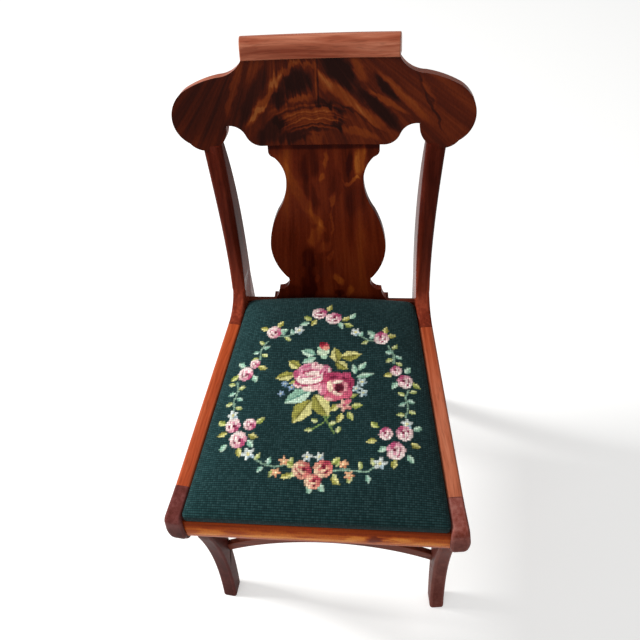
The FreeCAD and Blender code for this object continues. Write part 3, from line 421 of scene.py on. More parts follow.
def crotch_veneer(
    name, tones, laid, fork, bands, base, patches, seams_and_painted_shadows=(), rings=None, shine=0.035, gloss=0.22, sway=0.11,
):
    """Figured mahogany veneer: soft bands that spread from a fork in the tree, under flames and clouds.
    laid is the sheet's place and its lean, fork the point the bands spread from, base the plain tone,
    and sway how far the bands go lighter and darker.
    A patch is (x, up, half length, half width, rise in degrees, lighter or darker) in metres on the sheet.
    Patches wave with the grain, seams and painted shadows don't, and rings are ripples round a centre
    inside a patch."""
    material, tree = new_material(name)
    place = add(tree, "TexCoord", give="Object")
    flattened = {"Vector": place, "Location": laid[0], "Rotation": (-laid[1], 0, 0)}
    sheet = add(tree, "Mapping", flattened, vector_type="TEXTURE")
    flat = add(tree, "VectorMath", {0: sheet, 1: (1, 0, 1)}, operation="MULTIPLY")
    centre = (fork[0], 0, fork[1])
    from_fork = add(tree, "VectorMath", {0: flat, 1: centre}, operation="SUBTRACT")
    parts = add(tree, "SeparateXYZ", {0: from_fork}).node.outputs
    down = add(tree, "Math", {0: parts["Z"], 1: -1.0}, operation="MULTIPLY")
    angle = add(tree, "Math", {0: parts["X"], 1: down}, operation="ARCTAN2")
    reach = add(tree, "VectorMath", {0: from_fork}, operation="LENGTH", give="Value")
    # Broad bands are about 10 mm wide, and the fine ones a third of that.
    layers = []
    for across, length, detail in ((bands, 5, 1.0), (bands * 3.2, 14, 2.0)):
        turn = add(tree, "Math", {0: angle, 1: across}, operation="MULTIPLY")
        along = add(tree, "Math", {0: reach, 1: length}, operation="MULTIPLY")
        polar = add(tree, "CombineXYZ", {0: turn, 1: along})
        noise = {"Vector": polar, "Scale": 1.0, "Detail": detail, "Roughness": 0.45}
        layers.append(add(tree, "TexNoise", noise))
    broad, fine = layers
    # The edges of the flames wave by a few millimetres and are feathered along the bands.
    wave = add(tree, "TexNoise", {"Vector": flat, "Scale": 60.0, "Detail": 3.0}, give="Color")
    wave = add(tree, "VectorMath", {0: wave, 1: (0.5, 0.5, 0.5)}, operation="SUBTRACT")
    bent = {0: wave, 1: (0.012, 0, 0.012), 2: flat}
    waved = add(tree, "VectorMath", bent, operation="MULTIPLY_ADD")
    ahead = add(tree, "VectorMath", {0: from_fork}, operation="NORMALIZE")
    pull = add(tree, "MapRange", {0: broad, 1: 0.3, 2: 0.7, 3: -0.006, 4: 0.006})
    short = add(tree, "MapRange", {0: fine, 1: 0.3, 2: 0.7, 3: -0.0014, 4: 0.0014})
    pull = add(tree, "Math", {0: pull, 1: short}, operation="ADD")
    pulled = add(tree, "VectorMath", {0: ahead, 3: pull}, operation="SCALE")
    drawn = add(tree, "VectorMath", {0: waved, 1: pulled}, operation="ADD")
    tone = add(tree, "MapRange", {0: broad, 1: 0.3, 2: 0.7, 3: base - sway, 4: base + sway})
    thin = add(tree, "MapRange", {0: fine, 1: 0.3, 2: 0.7, 3: -0.06, 4: 0.06})
    tone = add(tree, "Math", {0: tone, 1: thin}, operation="ADD")

    def spot(vector, x, up, long, wide, rise, strength):
        """One patch: full inside its oval, and gone just outside it."""
        laid_over = {
            "Vector": vector, "Location": (x, 0, up), "Rotation": (0, -math.radians(rise), 0),
            "Scale": (long, 1, wide),
        }
        inside = add(tree, "Mapping", laid_over, vector_type="TEXTURE")
        off = add(tree, "VectorMath", {0: inside}, operation="LENGTH", give="Value")
        fade = {0: off, 1: 0.5, 2: 1.12, 3: strength, 4: 0.0}
        return add(tree, "MapRange", fade, interpolation_type="SMOOTHSTEP")

    for patch in patches:
        tone = add(tree, "Math", {0: tone, 1: spot(drawn, *patch)}, operation="ADD")
    for patch in seams_and_painted_shadows:
        tone = add(tree, "Math", {0: tone, 1: spot(flat, *patch)}, operation="ADD")
    if rings:
        # Curled figure: ripples about 5 mm apart round a point below the sheet.
        ring_centre, region = rings
        off = add(tree, "VectorMath", {0: waved, 1: ring_centre}, operation="SUBTRACT")
        out = add(tree, "VectorMath", {0: off}, operation="LENGTH", give="Value")
        out = add(tree, "Math", {0: out, 1: 190.0}, operation="MULTIPLY")
        ripple = add(tree, "TexNoise", {"W": out, "Scale": 1.0, "Detail": 1.0}, noise_dimensions="1D")
        ripple = add(tree, "MapRange", {0: ripple, 1: 0.35, 2: 0.65, 3: -0.26, 4: 0.3})
        amount = spot(drawn, *region)
        tone = add(tree, "Math", {0: ripple, 1: amount, 2: tone}, operation="MULTIPLY_ADD")
    stops = [(share, linear(shade)) for share, shade in tones]
    colour = add(tree, "ValToRGB", {0: tone}, stops=stops)
    # Pores are drawn about 1.5 mm wide so that they show.
    pore_place = add(tree, "VectorMath", {0: sheet, 1: (600, 600, 160)}, operation="MULTIPLY")
    pores = add(tree, "TexNoise", {"Vector": pore_place, "Scale": 1.0, "Detail": 1.0})
    pore_mark = add(tree, "MapRange", {0: pores, 1: 0.3, 2: 0.6, 3: 0.88, 4: 1.06})
    colour = add(tree, "VectorMath", {0: colour, 3: pore_mark}, operation="SCALE")
    relief = add(tree, "Bump", {"Height": pores, "Strength": 0.05, "Distance": 0.0003})
    rough = add(tree, "MapRange", {0: fine, 1: 0.3, 2: 0.7, 3: gloss, 4: gloss + 0.08})
    shader = add(tree, "BsdfPrincipled", {
        "Base Color": colour, "Roughness": rough, "Normal": relief,
        "IOR": 1.5, "Specular IOR Level": shine,
    })
    add(tree, "OutputMaterial", {"Surface": shader})
    return material


def recoloured(node, material):
    """Gives a CAD node that keeps its own shape its finished material."""
    nodes[node].data.materials.clear()
    nodes[node].data.materials.append(material)


front_tones = [
    (0.1, "#742a0e"), (0.3, "#983c12"), (0.48, "#b35318"), (0.64, "#cb6c26"), (0.82, "#e08838"),
    (1.0, "#f3a755"),
]
rail_patches = [
    (-0.148, -0.004, 0.026, 0.012, 0, 0.28), (-0.112, 0.004, 0.022, 0.006, 0, -0.16),
    (-0.062, -0.006, 0.05, 0.009, 2, 0.24), (-0.016, -0.002, 0.02, 0.004, 0, -0.1),
    (0.02, -0.009, 0.05, 0.008, -2, 0.22), (0.056, 0.0, 0.02, 0.008, 14, 0.26),
    (0.079, -0.002, 0.013, 0.014, 0, -0.42), (0.095, 0.004, 0.02, 0.003, -16, -0.25),
    (0.098, -0.006, 0.024, 0.003, 12, -0.2), (0.112, 0.0, 0.022, 0.01, 0, 0.28),
    (0.155, -0.006, 0.03, 0.01, 0, 0.18), (0.0, 0.021, 0.9, 0.013, 0, -0.3),
]
front_laid = ((0, -0.255, 0.4), 0)
front_fork = (-2.5, 0.0)
# Figured mahogany veneer: orange with a dark knot and a dark red upper half, under clear shellac.
front_veneer = crotch_veneer(
    "figured_mahogany_veneer", front_tones, front_laid, front_fork, bands=320, base=0.52,
    patches=rail_patches, shine=0.012, gloss=0.16,
)
recoloured("front_rail_veneer", front_veneer)

# Plain mahogany with little polish: brown red, with straight grain from side to side.
side_to_side = (0, math.radians(90), 0)
core_wood = grained_wood("plain_mahogany", "#4a1c12", "#6b3020", "#824230", side_to_side, gloss=0.34)
recoloured("front_rail", core_wood)


# Arched stretcher: a thin mahogany board, sawn to a bow.
# Its ends are let into the inner faces of the front legs, below the front rail.

stretcher_rounding = 0.0014
softened("front_stretcher", stretcher_rounding, "chair_frame", core_wood)


# Rear rail: a mahogany board tenoned between the posts, and the foot of the splat stands in it.
# Its back edge is planed off beside the splat.

board_rounding = 0.0012


def back_share(middle, first, second):
    """Rounds only the arrises of the back face. A veneer lies flush over the front ones."""
    return 1 if max(first.y, second.y) > 0.6 else 0


softened("rear_rail", board_rounding, "chair_frame", core_wood, back_share)


# Crest: a thick mahogany board, sawn hollow, with round lobes at both ends.
# Its face carries one sheet of crotch veneer, and its sawn edge is left as bright plain mahogany.

crest_rake = math.radians(17)
crest_rounding = 0.002
veneer_rounding = 0.0007

# Plain mahogany, sawn across its curve and handled: the edge shows lighter than the veneered face.
crest_edge = grained_wood("crest_edge_mahogany", "#6e321d", "#8e442b", "#a85f42", side_to_side, shine=0.008)
softened("crest_board", crest_rounding, "chair_frame", crest_edge, back_share)

crest_tones = [
    (0.0, "#200a06"), (0.2, "#31110a"), (0.4, "#4a190b"), (0.55, "#60250f"), (0.72, "#703011"),
    (0.88, "#7e3c19"), (1.0, "#8d4d24"),
]
crest_patches = [
    # Left half: dark, with streaks that rise to the right.
    (-0.155, -0.085, 0.075, 0.065, 0, -0.12), (-0.122, -0.073, 0.050, 0.006, 70, 0.24),
    (-0.092, -0.046, 0.026, 0.009, 60, 0.12), (-0.094, -0.078, 0.052, 0.010, 62, -0.2),
    (-0.080, -0.088, 0.050, 0.0065, 54, 0.42), (-0.062, -0.060, 0.017, 0.008, 45, 0.3),
    (-0.091, -0.104, 0.026, 0.0035, 48, 0.3), (-0.074, -0.130, 0.036, 0.014, 40, -0.26),
    # Middle: a dark hollow under an arch, then pale bars.
    (-0.045, -0.043, 0.024, 0.0055, 35, 0.26), (-0.022, -0.037, 0.020, 0.005, -8, 0.24),
    (-0.032, -0.062, 0.026, 0.020, 0, -0.42), (-0.060, -0.083, 0.015, 0.017, 0, -0.36),
    (-0.032, -0.085, 0.022, 0.0055, 0, 0.3), (-0.018, -0.108, 0.056, 0.016, 0, 0.2),
    (-0.060, -0.118, 0.010, 0.009, 0, -0.34), (-0.042, -0.139, 0.03, 0.009, 6, -0.26),
    (-0.009, -0.141, 0.012, 0.011, 0, 0.26),
    # Right half: warmer, with broad dark and gold bands that fall to the right.
    (0.165, -0.095, 0.07, 0.06, 0, 0.05), (0.026, -0.047, 0.036, 0.018, -46, -0.46),
    (0.080, -0.101, 0.052, 0.012, -45, -0.42), (0.005, -0.062, 0.017, 0.010, -60, 0.3),
    (0.036, -0.086, 0.062, 0.009, -43, 0.36), (0.068, -0.111, 0.036, 0.008, -44, 0.2),
    (0.003, -0.093, 0.017, 0.008, 0, -0.34), (0.024, -0.105, 0.010, 0.009, 0, -0.3),
    (0.023, -0.121, 0.011, 0.007, 0, -0.34), (0.052, -0.110, 0.05, 0.0025, -33, -0.22),
    (0.055, -0.137, 0.034, 0.007, -15, 0.22), (0.052, -0.046, 0.021, 0.011, -60, 0.3),
    (0.090, -0.089, 0.038, 0.0045, -30, 0.3), (0.088, -0.070, 0.026, 0.0075, -47, -0.38),
    (0.116, -0.085, 0.054, 0.007, -44, 0.3), (0.150, -0.092, 0.054, 0.003, -63, -0.26),
    (0.143, -0.072, 0.022, 0.005, -60, 0.16),
]
# A hairline runs down from the roll, pale on one side and dark on the other.
crest_seam = [(-0.0065, -0.058, 0.040, 0.0012, 90, 0.24), (-0.0036, -0.062, 0.046, 0.0013, 90, -0.22)]
crest_rings = ((-0.008, 0, -0.215), (-0.018, -0.112, 0.062, 0.024, 0, 1.0))
crest_laid = ((0, 0.2359, 0.864), crest_rake)
crest_fork = (-0.058, 0.078)
# Crotch mahogany veneer: near-black clouds and gold flames that fan out from the fork.
crest_veneer = crotch_veneer(
    "crotch_mahogany_veneer", crest_tones, crest_laid, crest_fork, bands=20, base=0.4,
    patches=crest_patches, seams_and_painted_shadows=crest_seam, rings=crest_rings,
)


def front_share(middle, first, second):
    """Rounds only the arrises of the front face."""
    return 1 if min(first.y, second.y) < -0.6 else 0


softened("crest_veneer", veneer_rounding, "chair_frame", crest_veneer, front_share)


# Rolled top: a moulded mahogany strip, doweled along the top of the crest.
# It is plain wood, handled more than the rest, and paler than the veneer below it.

roll_rounding = 0.0016

# Plain mahogany, rubbed pale by hands: pinkish brown streaks from side to side.
roll_wood = grained_wood("crest_roll_mahogany", "#833d29", "#9f563e", "#bd765b", side_to_side, gloss=0.24)
softened("crest_roll", roll_rounding, "chair_frame", roll_wood)


# Splat: a vase shaped board, bowed back, tenoned into the rear rail and into the crest.
# Its face carries crotch veneer with the figure upright, and its edges are plain mahogany.

softened("splat_board", board_rounding, "chair_frame", post_wood, back_share)

splat_patches = [
    # Left side: a smooth red band, brightest along its inner edge.
    (-0.060, 0.66, 0.085, 0.024, 90, 0.16), (-0.040, 0.640, 0.080, 0.009, -66, 0.16),
    (-0.014, 0.594, 0.026, 0.006, -55, 0.2), (-0.060, 0.454, 0.034, 0.02, 0, -0.2),
    # Middle: dark beside a row of pale flecks.
    (-0.021, 0.686, 0.030, 0.017, 84, -0.34), (-0.021, 0.640, 0.036, 0.010, -72, -0.26),
    (0.0025, 0.694, 0.018, 0.0035, 84, 0.34), (-0.003, 0.664, 0.010, 0.004, 80, 0.3),
    (0.010, 0.632, 0.014, 0.0055, 80, 0.42), (0.008, 0.594, 0.032, 0.0022, 88, 0.26),
    (0.018, 0.655, 0.03, 0.008, 90, -0.16), (-0.018, 0.566, 0.030, 0.010, 65, 0.26),
    (-0.006, 0.548, 0.018, 0.010, 30, 0.2), (0.004, 0.532, 0.012, 0.005, 70, 0.22),
    (-0.031, 0.522, 0.032, 0.013, 88, -0.34), (-0.034, 0.470, 0.038, 0.014, 86, -0.36),
    (-0.019, 0.488, 0.010, 0.005, 80, 0.16), (0.015, 0.482, 0.016, 0.007, -60, 0.42),
    (0.032, 0.456, 0.014, 0.008, 80, 0.32), (0.015, 0.456, 0.009, 0.009, 0, -0.3),
    # Right side: a gold flame at the top, then plain brown.
    (0.052, 0.690, 0.030, 0.009, 82, 0.5), (0.040, 0.662, 0.016, 0.0045, 8, 0.42),
    (0.037, 0.690, 0.022, 0.006, 84, -0.34), (0.045, 0.630, 0.03, 0.02, 80, -0.16),
    (0.048, 0.540, 0.045, 0.03, 90, 0.05),
]
splat_tones = [
    (0.0, "#310803"), (0.2, "#441204"), (0.4, "#571b09"), (0.55, "#65240d"), (0.74, "#763210"),
    (0.9, "#884014"), (1.0, "#9c531f"),
]
# Painted shadow: a dark band across the top of the splat stands for the shade under the crest's overhang.
splat_painted_shadow = [(0.0, 0.7155, 0.5, 0.007, 0, -0.4)]
splat_laid = ((0, 0, 0), 0)
splat_fork = (0.0, 1.4)
# Crotch mahogany veneer with its figure upright: red brown bands, dark clouds and a few gold flecks.
splat_veneer = crotch_veneer(
    "upright_crotch_mahogany_veneer", splat_tones, splat_laid, splat_fork, bands=55, base=0.43,
    patches=splat_patches, seams_and_painted_shadows=splat_painted_shadow, sway=0.19,
)
softened("splat_veneer", veneer_rounding, "chair_frame", splat_veneer, front_share)


# Ledges, corner blocks, dowels and the loose seat's frame: plain sawn pine, glued or doweled in place.
# It is left unpolished, and none of it shows from above.

pine_tones = ("#8a6a42", "#a98756", "#bf9f6c")
front_to_back = (math.radians(90), 0, 0)

# Bare pine, darkened by age: matt, yellow brown and plainly grained.
pine_across = grained_wood("bare_pine_across", *pine_tones, side_to_side, gloss=0.62, shine=0.2)
pine_along = grained_wood("bare_pine_along", *pine_tones, front_to_back, gloss=0.62, shine=0.2)
for node in (
    "rear_seat_ledge", "front_right_glue_block", "front_left_glue_block", "rear_right_glue_block",
    "rear_left_glue_block", "seat_frame_front", "seat_frame_rear", "crest_roll_dowels",
):
    recoloured(node, pine_across)
for node in (
    "right_seat_ledge", "left_seat_ledge", "seat_frame_right", "seat_frame_left", "seat_frame_dowels",
):
    recoloured(node, pine_along)


# Needlepoint cover: wool tent stitch on canvas, stretched over horsehair on the loose seat's frame,
# pulled round its edges and tacked underneath. A wreath of roses frames a bouquet on dark green.

# Eight stitches to the inch.
stitch = 0.0254 / 8
cover_low, cover_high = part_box("needlepoint_cover")
seat_front, seat_rear = cover_low.y, cover_high.y
bottom, crown = cover_low.z, cover_high.z
edge_height = 0.0168
edge_rise = bottom + edge_height
rear_rise = 0.009
rise_from = -0.03
seat_front_half = 0.182134
splay_run = 0.11164
front_round, rear_round, eased = 0.006, 0.016, 0.0028
cover_thickness = 0.0016


def half_at(y):
    """Half the seat's width at a distance from front to back."""
    return seat_front_half - (y - nose_front) * splay_run


def inset_from_edge(x, y):
    """How far a point of the seat lies inside its rounded outline."""
    side = (half_at(y) - abs(x)) * math.cos(splay)
    end, curve = min((y - seat_front, front_round), (seat_rear - y, rear_round))
    if side < curve and end < curve:
        return curve - math.hypot(curve - side, curve - end)
    return min(side, end)


def rear_puff(x, y):
    """The stuffing stands higher along the middle of the rear edge."""
    across = min(1, abs(x) / half_at(y))
    return rear_rise * (1 - across * across) * eased_share(y, rise_from, seat_rear)


cloth = bmesh.new()
columns, rows = 116, 126
middle_y = (seat_front + seat_rear) / 2
over_frame = Matrix.Translation((0, middle_y, edge_rise))
cut_size = Matrix.Diagonal((columns * stitch / 2, rows * stitch / 2, 1, 1))
bmesh.ops.create_grid(cloth, x_segments=columns, y_segments=rows, size=1, matrix=over_frame @ cut_size)

# The canvas is trimmed to the seat's outline: front, rear, both sides, and short cuts round each corner.
trims = [((0, seat_front + eased), (0, -1)), ((0, seat_rear - eased), (0, 1))]
for sign in (1, -1):
    side_x = sign * (half_at(0) - eased / math.cos(splay))
    trims.append(((side_x, 0), (sign * math.cos(splay), math.sin(splay))))
    for end_y, curve, first, last, cuts in (
        (seat_front, front_round, -90, 6, 2), (seat_rear, rear_round, 6, 90, 4),
    ):
        centre_y = end_y + curve * (1 if end_y < 0 else -1)
        centre_x = sign * (half_at(centre_y) - curve / math.cos(splay))
        for step in range(cuts):
            bearing = math.radians(first + (last - first) * (step + 0.5) / cuts)
            way = (sign * math.cos(bearing), math.sin(bearing))
            trims.append(((centre_x + way[0] * (curve - eased), centre_y + way[1] * (curve - eased)), way))
for (x, y), way in trims:
    everything = cloth.verts[:] + cloth.edges[:] + cloth.faces[:]
    bmesh.ops.bisect_plane(cloth, geom=everything, plane_co=(x, y, 0), plane_no=(*way, 0), clear_outer=True)
cut_place = cloth.verts.layers.float_vector.new("cut_place")
for vert in cloth.verts:
    vert[cut_place] = vert.co
cover_mesh = bpy.data.meshes.new("needlepoint_seat")
cloth.to_mesh(cover_mesh)
cloth.free()
cover = bpy.data.objects.new("needlepoint_seat", cover_mesh)
scene.collection.objects.link(cover)

# The stuffing presses the cloth up while its edge is held, then the crown is set to its measured height.
pressure = 4
last_frame = 20
held = cover.vertex_groups.new(name="held_edge")
on_edge = eased + 0.0003
edge_points = [v.index for v in cover_mesh.vertices if inset_from_edge(v.co.x, v.co.y) < on_edge]
held.add(edge_points, 1, "ADD")
stuffing = cover.modifiers.new("stuffing", "CLOTH")
stuffing.settings.vertex_group_mass = "held_edge"
stuffing.settings.use_pressure = True
stuffing.settings.uniform_pressure_force = pressure
stuffing.settings.effector_weights.gravity = 0
stuffing.settings.quality = 5
stuffing.collision_settings.use_collision = False
for step in range(1, last_frame + 1):
    scene.frame_set(step)
cover_mesh = finished_mesh(cover)
scene.frame_set(1)

cloth = bmesh.new()
cloth.from_mesh(cover_mesh)
cut_place = cloth.verts.layers.float_vector["cut_place"]
lift = max(vert.co.z for vert in cloth.verts) - edge_rise
packed = 0.66
for vert in cloth.verts:
    share = max(0, vert.co.z - edge_rise) / lift
    vert.co.xy = vert[cut_place].xy
    vert.co.z = edge_rise + (crown - edge_rise) * share ** packed + rear_puff(vert.co.x, vert.co.y)

# The edge turns down round the frame and 31 mm under it. A turn is its inset, its height, and the run of
# cloth from the edge of the top. Only the turns above the frame rise with the stuffing.
rising_above = bottom + 0.01
nudge = 0.0001
turns = (
    (0.00075, edge_rise - 0.0020, 0.0029), (0.0, edge_rise - 0.0042, 0.0052),
    (0.0, bottom + 0.007, 0.0108), (0.0, bottom + 0.002, 0.0158), (0.0006, bottom + 0.0005, 0.0174),
    (0.0022, bottom, 0.0191), (0.012, bottom, 0.029), (0.022, bottom, 0.039), (0.031, bottom, 0.048),
)
border = [edge for edge in cloth.edges if edge.is_boundary]
for inset, height, run in turns:
    turned_over = bmesh.ops.extrude_edge_only(cloth, edges=border)["geom"]
    border = [item for item in turned_over if isinstance(item, bmesh.types.BMEdge)]
    for vert in (item for item in turned_over if isinstance(item, bmesh.types.BMVert)):
        x, y = vert[cut_place].x, vert[cut_place].y
        outward = Vector((
            inset_from_edge(x - nudge, y) - inset_from_edge(x + nudge, y),
            inset_from_edge(x, y - nudge) - inset_from_edge(x, y + nudge),
        )).normalized()
        if inset < eased:
            vert.co.xy = Vector((x, y)) + outward * (eased - inset)
        else:
            vert.co.y = min(seat_rear - inset, max(seat_front + inset, y))
            reach = half_at(vert.co.y) - inset / math.cos(splay)
            vert.co.x = min(reach, max(-reach, x))
        vert.co.z = height + (rear_puff(x, y) if height > rising_above else 0)
    for vert in {v for e in border for v in e.verts}:
        vert[cut_place].z = run
underneath = [v for v in cloth.verts if v.co.z < bottom + 0.0001]
bmesh.ops.remove_doubles(cloth, verts=underneath, dist=0.0002)
bmesh.ops.recalc_face_normals(cloth, faces=cloth.faces)
cloth.to_mesh(cover_mesh)
cloth.free()
cover_mesh.shade_smooth()

# The stitches are counted on the flat canvas: the top by its place, the turned edge by its run of cloth.
longest_run = 0.06
places = np.zeros(len(cover_mesh.vertices) * 3)
cover_mesh.attributes["cut_place"].data.foreach_get("vector", places)
places = places.reshape(-1, 3)
corners = np.zeros(len(cover_mesh.loops), int)
cover_mesh.loops.foreach_get("vertex_index", corners)
unfolded = places[corners]
stitches = cover_mesh.uv_layers.new(name="stitches")
rows_down = np.where(np.abs(unfolded[:, 2]) < longest_run, unfolded[:, 2], 0)
on_paper = np.column_stack((unfolded[:, 0], unfolded[:, 1] - rows_down)) / stitch + 0.5
stitches.data.foreach_set("uv", on_paper.ravel())

# Each corner of a stitch takes its colour half way to the stitch's middle, in mm, so edges stay crisp.
ends = np.zeros(len(cover_mesh.vertices) * 3)
cover_mesh.vertices.foreach_get("co", ends)
corner_counts = [len(face.loop_indices) for face in cover_mesh.polygons]
face_of_corner = np.repeat(np.arange(len(cover_mesh.polygons)), corner_counts)
face_middles = np.array([face.center for face in cover_mesh.polygons])[face_of_corner]
painted = (ends.reshape(-1, 3)[corners] + face_middles) * 500
X, Y = painted[:, 0], painted[:, 1]
ground = "#143334"
wool = np.tile(np.array(linear(ground)), (len(X), 1))
# Painted light and shade: the ground is painted paler on the left side of the seat and darker on the right.
wool[:, :3] *= np.interp(X, (-170, -70, 170), (1.22, 0.86, 0.72))[:, None]


def from_centre(x, y, angle=0):
    """Where each stitch lies from a motif's centre, along and across its own direction, in mm."""
    turn = math.radians(angle)
    along = (X - x) * math.cos(turn) + (Y - y) * math.sin(turn)
    across = (Y - y) * math.cos(turn) - (X - x) * math.sin(turn)
    return along, across


large_leaf = 12
vein_half = 1.25


def leaf(x, y, length, width, angle, lit, shade, vein):
    """A pointed leaf in two greens, from its stalk to its tip. A large one has a vein."""
    along, across = from_centre(x, y, angle)
    t = np.clip(along / length + 0.5, 0, 1)
    edge = width / 2 * np.sin(np.pi * t ** 0.85) * (1 + 0.1 * np.sin(t * 19))
    inside = (np.abs(along) < length / 2) & (np.abs(across) < edge)
    wool[inside & (across >= 0)] = linear(lit)
    wool[inside & (across < 0)] = linear(shade)
    if width > large_leaf:
        wool[inside & (np.abs(across) < vein_half) & (t < 0.8)] = linear(vein)


def petal(x, y, length, width, angle, shade):
    """One oval of a single shade of wool, by its half length and half width."""
    along, across = from_centre(x, y, angle)
    wool[np.hypot(along / length, across / width) < 1] = linear(shade)


def full_rose(x, y, size, petals):
    """A large rose: ovals laid over each other, placed and sized in parts of its radius."""
    for right, up, length, width, angle, shade in petals:
        petal(x + right * size, y + up * size, length * size, width * size, angle, shade)


def small_rose(x, y, size, heart, deep, mid, pale, light, turn=0):
    """A rose of the wreath: loose outer petals round a cup with a dark heart."""
    for right, up, length, width, angle, shade in (
        (-0.52, 0.42, 0.46, 0.30, 35, pale), (0.06, 0.66, 0.40, 0.26, 0, mid),
        (0.58, 0.36, 0.42, 0.32, -40, deep), (-0.74, -0.14, 0.26, 0.36, 0, light),
        (0.72, -0.18, 0.28, 0.40, -10, mid), (-0.36, -0.64, 0.50, 0.26, -25, light),
        (0.36, -0.68, 0.46, 0.24, 22, pale), (0.0, 0.0, 0.54, 0.52, 0, deep),
        (-0.20, 0.10, 0.36, 0.36, 0, mid), (-0.30, 0.32, 0.28, 0.13, 30, light),
        (0.12, 0.12, 0.24, 0.20, 0, heart), (-0.08, -0.26, 0.46, 0.15, 8, light),
        (0.44, -0.06, 0.12, 0.28, 10, pale), (-0.46, -0.40, 0.26, 0.10, -22, deep),
        (0.30, -0.46, 0.26, 0.10, 20, heart),
    ):
        swing = math.radians(turn)
        aside = right * math.cos(swing) - up * math.sin(swing)
        above = right * math.sin(swing) + up * math.cos(swing)
        petal(x + aside * size, y + above * size, length * size, width * size, angle + turn, shade)


def blossom(x, y, size, shades):
    """A small five petalled flower with a shaded side and a coloured heart."""
    along, across = from_centre(x, y)
    bearing = np.arctan2(across, along)
    out = np.hypot(along, across) / size
    inside = out < 0.76 + 0.24 * np.cos(5 * bearing + x)
    wool[inside] = linear(shades[0])
    wool[inside & (across < -size * 0.15) & (along > 0)] = linear(shades[1])
    wool[out < 0.27] = linear(shades[2])


stem_half = 1.1
sprig_leaf_size = (11.5, 6.6)
sprig_leaves = (("#d6dba0", "#a7b268", ""), ("#bfdcc8", "#86b59e", ""))


def sprig(points, sprouts, stem="#8aab93"):
    """A stem one stitch wide through points, with small leaves to either side."""
    for (x0, y0), (x1, y1) in zip(points, points[1:]):
        length = math.hypot(x1 - x0, y1 - y0)
        along, across = from_centre(x0, y0, math.degrees(math.atan2(y1 - y0, x1 - x0)))
        wool[(along > -0.5) & (along < length + 0.5) & (np.abs(across) < stem_half)] = linear(stem)
    for x, y, angle, tone in sprouts:
        leaf(x, y, *sprig_leaf_size, angle, *sprig_leaves[tone])


olive = ("#d6d088", "#9a9646", "#6c672c")
moss = ("#cdd084", "#929d4a", "#5f6b30")
sea = ("#c3dec6", "#8db89f", "#5f9080")
pink_wool = ("#6e1a36", "#b04a6e", "#d895a5", "#edcac7", "#f6e4dd")
salmon_wool = ("#70122a", "#a83c4c", "#cc6e68", "#e09c84", "#ecc8a6")
white_wool = ("#dbe3dc", "#a9bec6", "#e0d490")
grey_wool = ("#bccdca", "#8fa9b2", "#c9c48f")
blue_wool = ("#86a0ba", "#64819d", "#c3c08c")
peach_wool = ("#eab187", "#d08a63", "#f0d8a8")
wreath_leaf_size = (15, 8.4)

# Wreath: stems first, then leaves, blossoms and roses over them.
for points, sprouts in (
    ([(-92, 36), (-101, 20), (-100, 2)], [
        (-101, 34, 120, 0), (-92, 24, 20, 1), (-108, 15, 190, 1), (-93, 9, 330, 0), (-108, 2, 200, 0)]),
    ([(96, 32), (105, 16), (105, 0)], [
        (106, 31, 60, 0), (97, 20, 170, 1), (112, 12, 340, 1), (98, 5, 210, 0), (113, 0, 340, 0)]),
    ([(-131, -38), (-127, -56), (-131, -72), (-129, -90)], [
        (-139, -42, 160, 0), (-121, -50, 20, 0), (-136, -60, 200, 1), (-122, -70, 330, 1),
        (-138, -78, 190, 0), (-121, -86, 350, 0)]),
    ([(127, -45), (122, -60), (126, -76), (122, -94)], [
        (134, -48, 20, 0), (116, -54, 160, 0), (130, -66, 340, 1), (117, -72, 210, 1), (132, -84, 350, 0),
        (115, -90, 190, 0)]),
    ([(-84, 47), (-64, 44), (-46, 54)], [(-70, 52, 140, 1), (-60, 40, 320, 0), (-54, 54, 120, 1)]),
    ([(84, 40), (66, 40), (47, 52)], [(72, 47, 40, 1), (60, 36, 210, 0), (54, 52, 60, 1)]),
    ([(-92, -166), (-76, -177), (-58, -181), (-44, -177), (-26, -184)], [
        (-84, -166, 60, 0), (-79, -185, 230, 1), (-67, -172, 80, 1), (-62, -191, 250, 0),
        (-36, -170, 70, 0), (-34, -192, 240, 0)]),
    ([(84, -172), (68, -184), (52, -182), (36, -181), (20, -184)], [
        (77, -168, 110, 0), (71, -193, 280, 1), (60, -174, 100, 0), (46, -195, 260, 0), (29, -171, 80, 0),
        (26, -193, 300, 0)]),
):
    sprig(points, sprouts)
for x, y, angle, greens in (
    (-32, 82, 150, moss), (-36, 70, 200, sea), (-22, 72, 240, olive), (2, 105, 75, olive),
    (30, 82, 30, olive), (40, 88, 60, sea), (34, 69, 340, moss), (22, 68, 290, sea),
    (-100, 62, 160, olive), (-74, 70, 60, olive), (-68, 56, 20, sea), (101, 52, 10, olive),
    (92, 62, 80, olive), (70, 54, 150, sea), (-128, -6, 140, sea), (-94, -14, 340, olive),
    (-136, -30, 220, moss), (-104, -34, 300, sea), (126, -10, 60, sea), (96, -22, 200, olive),
    (138, -36, 330, moss), (106, -40, 240, sea), (-144, -110, 150, moss), (-141, -130, 200, olive),
    (-136, -152, 235, sea), (-94, -134, 340, olive), (-86, -108, 40, moss),
    (-112, -160, 280, olive), (-97, -146, 310, sea), (78, -110, 140, moss), (74, -136, 190, olive),
    (136, -138, 340, olive), (129, -160, 310, sea), (106, -170, 260, olive), (139, -110, 30, sea),
    (90, -148, 220, sea), (-38, -176, 150, moss), (-42, -194, 200, olive), (27, -168, 40, moss),
    (27, -198, 320, olive), (-8, -210, 270, sea), (8, -208, 300, sea),
):
    leaf(x, y, *wreath_leaf_size, angle, *greens)
for x, y, size in (
    (-44, 57, 8.5), (45, 55, 8.5), (-129, -98, 9), (124, -104, 9), (-98, -162, 10.5), (87, -170, 10),
    (-14, -164, 7.5), (3, -163, 7),
):
    blossom(x, y, size, white_wool)
for x, y, size in ((-46, -172, 7.5), (-56, -189, 7), (37, -173, 7), (45, -189, 7)):
    blossom(x, y, size, peach_wool)
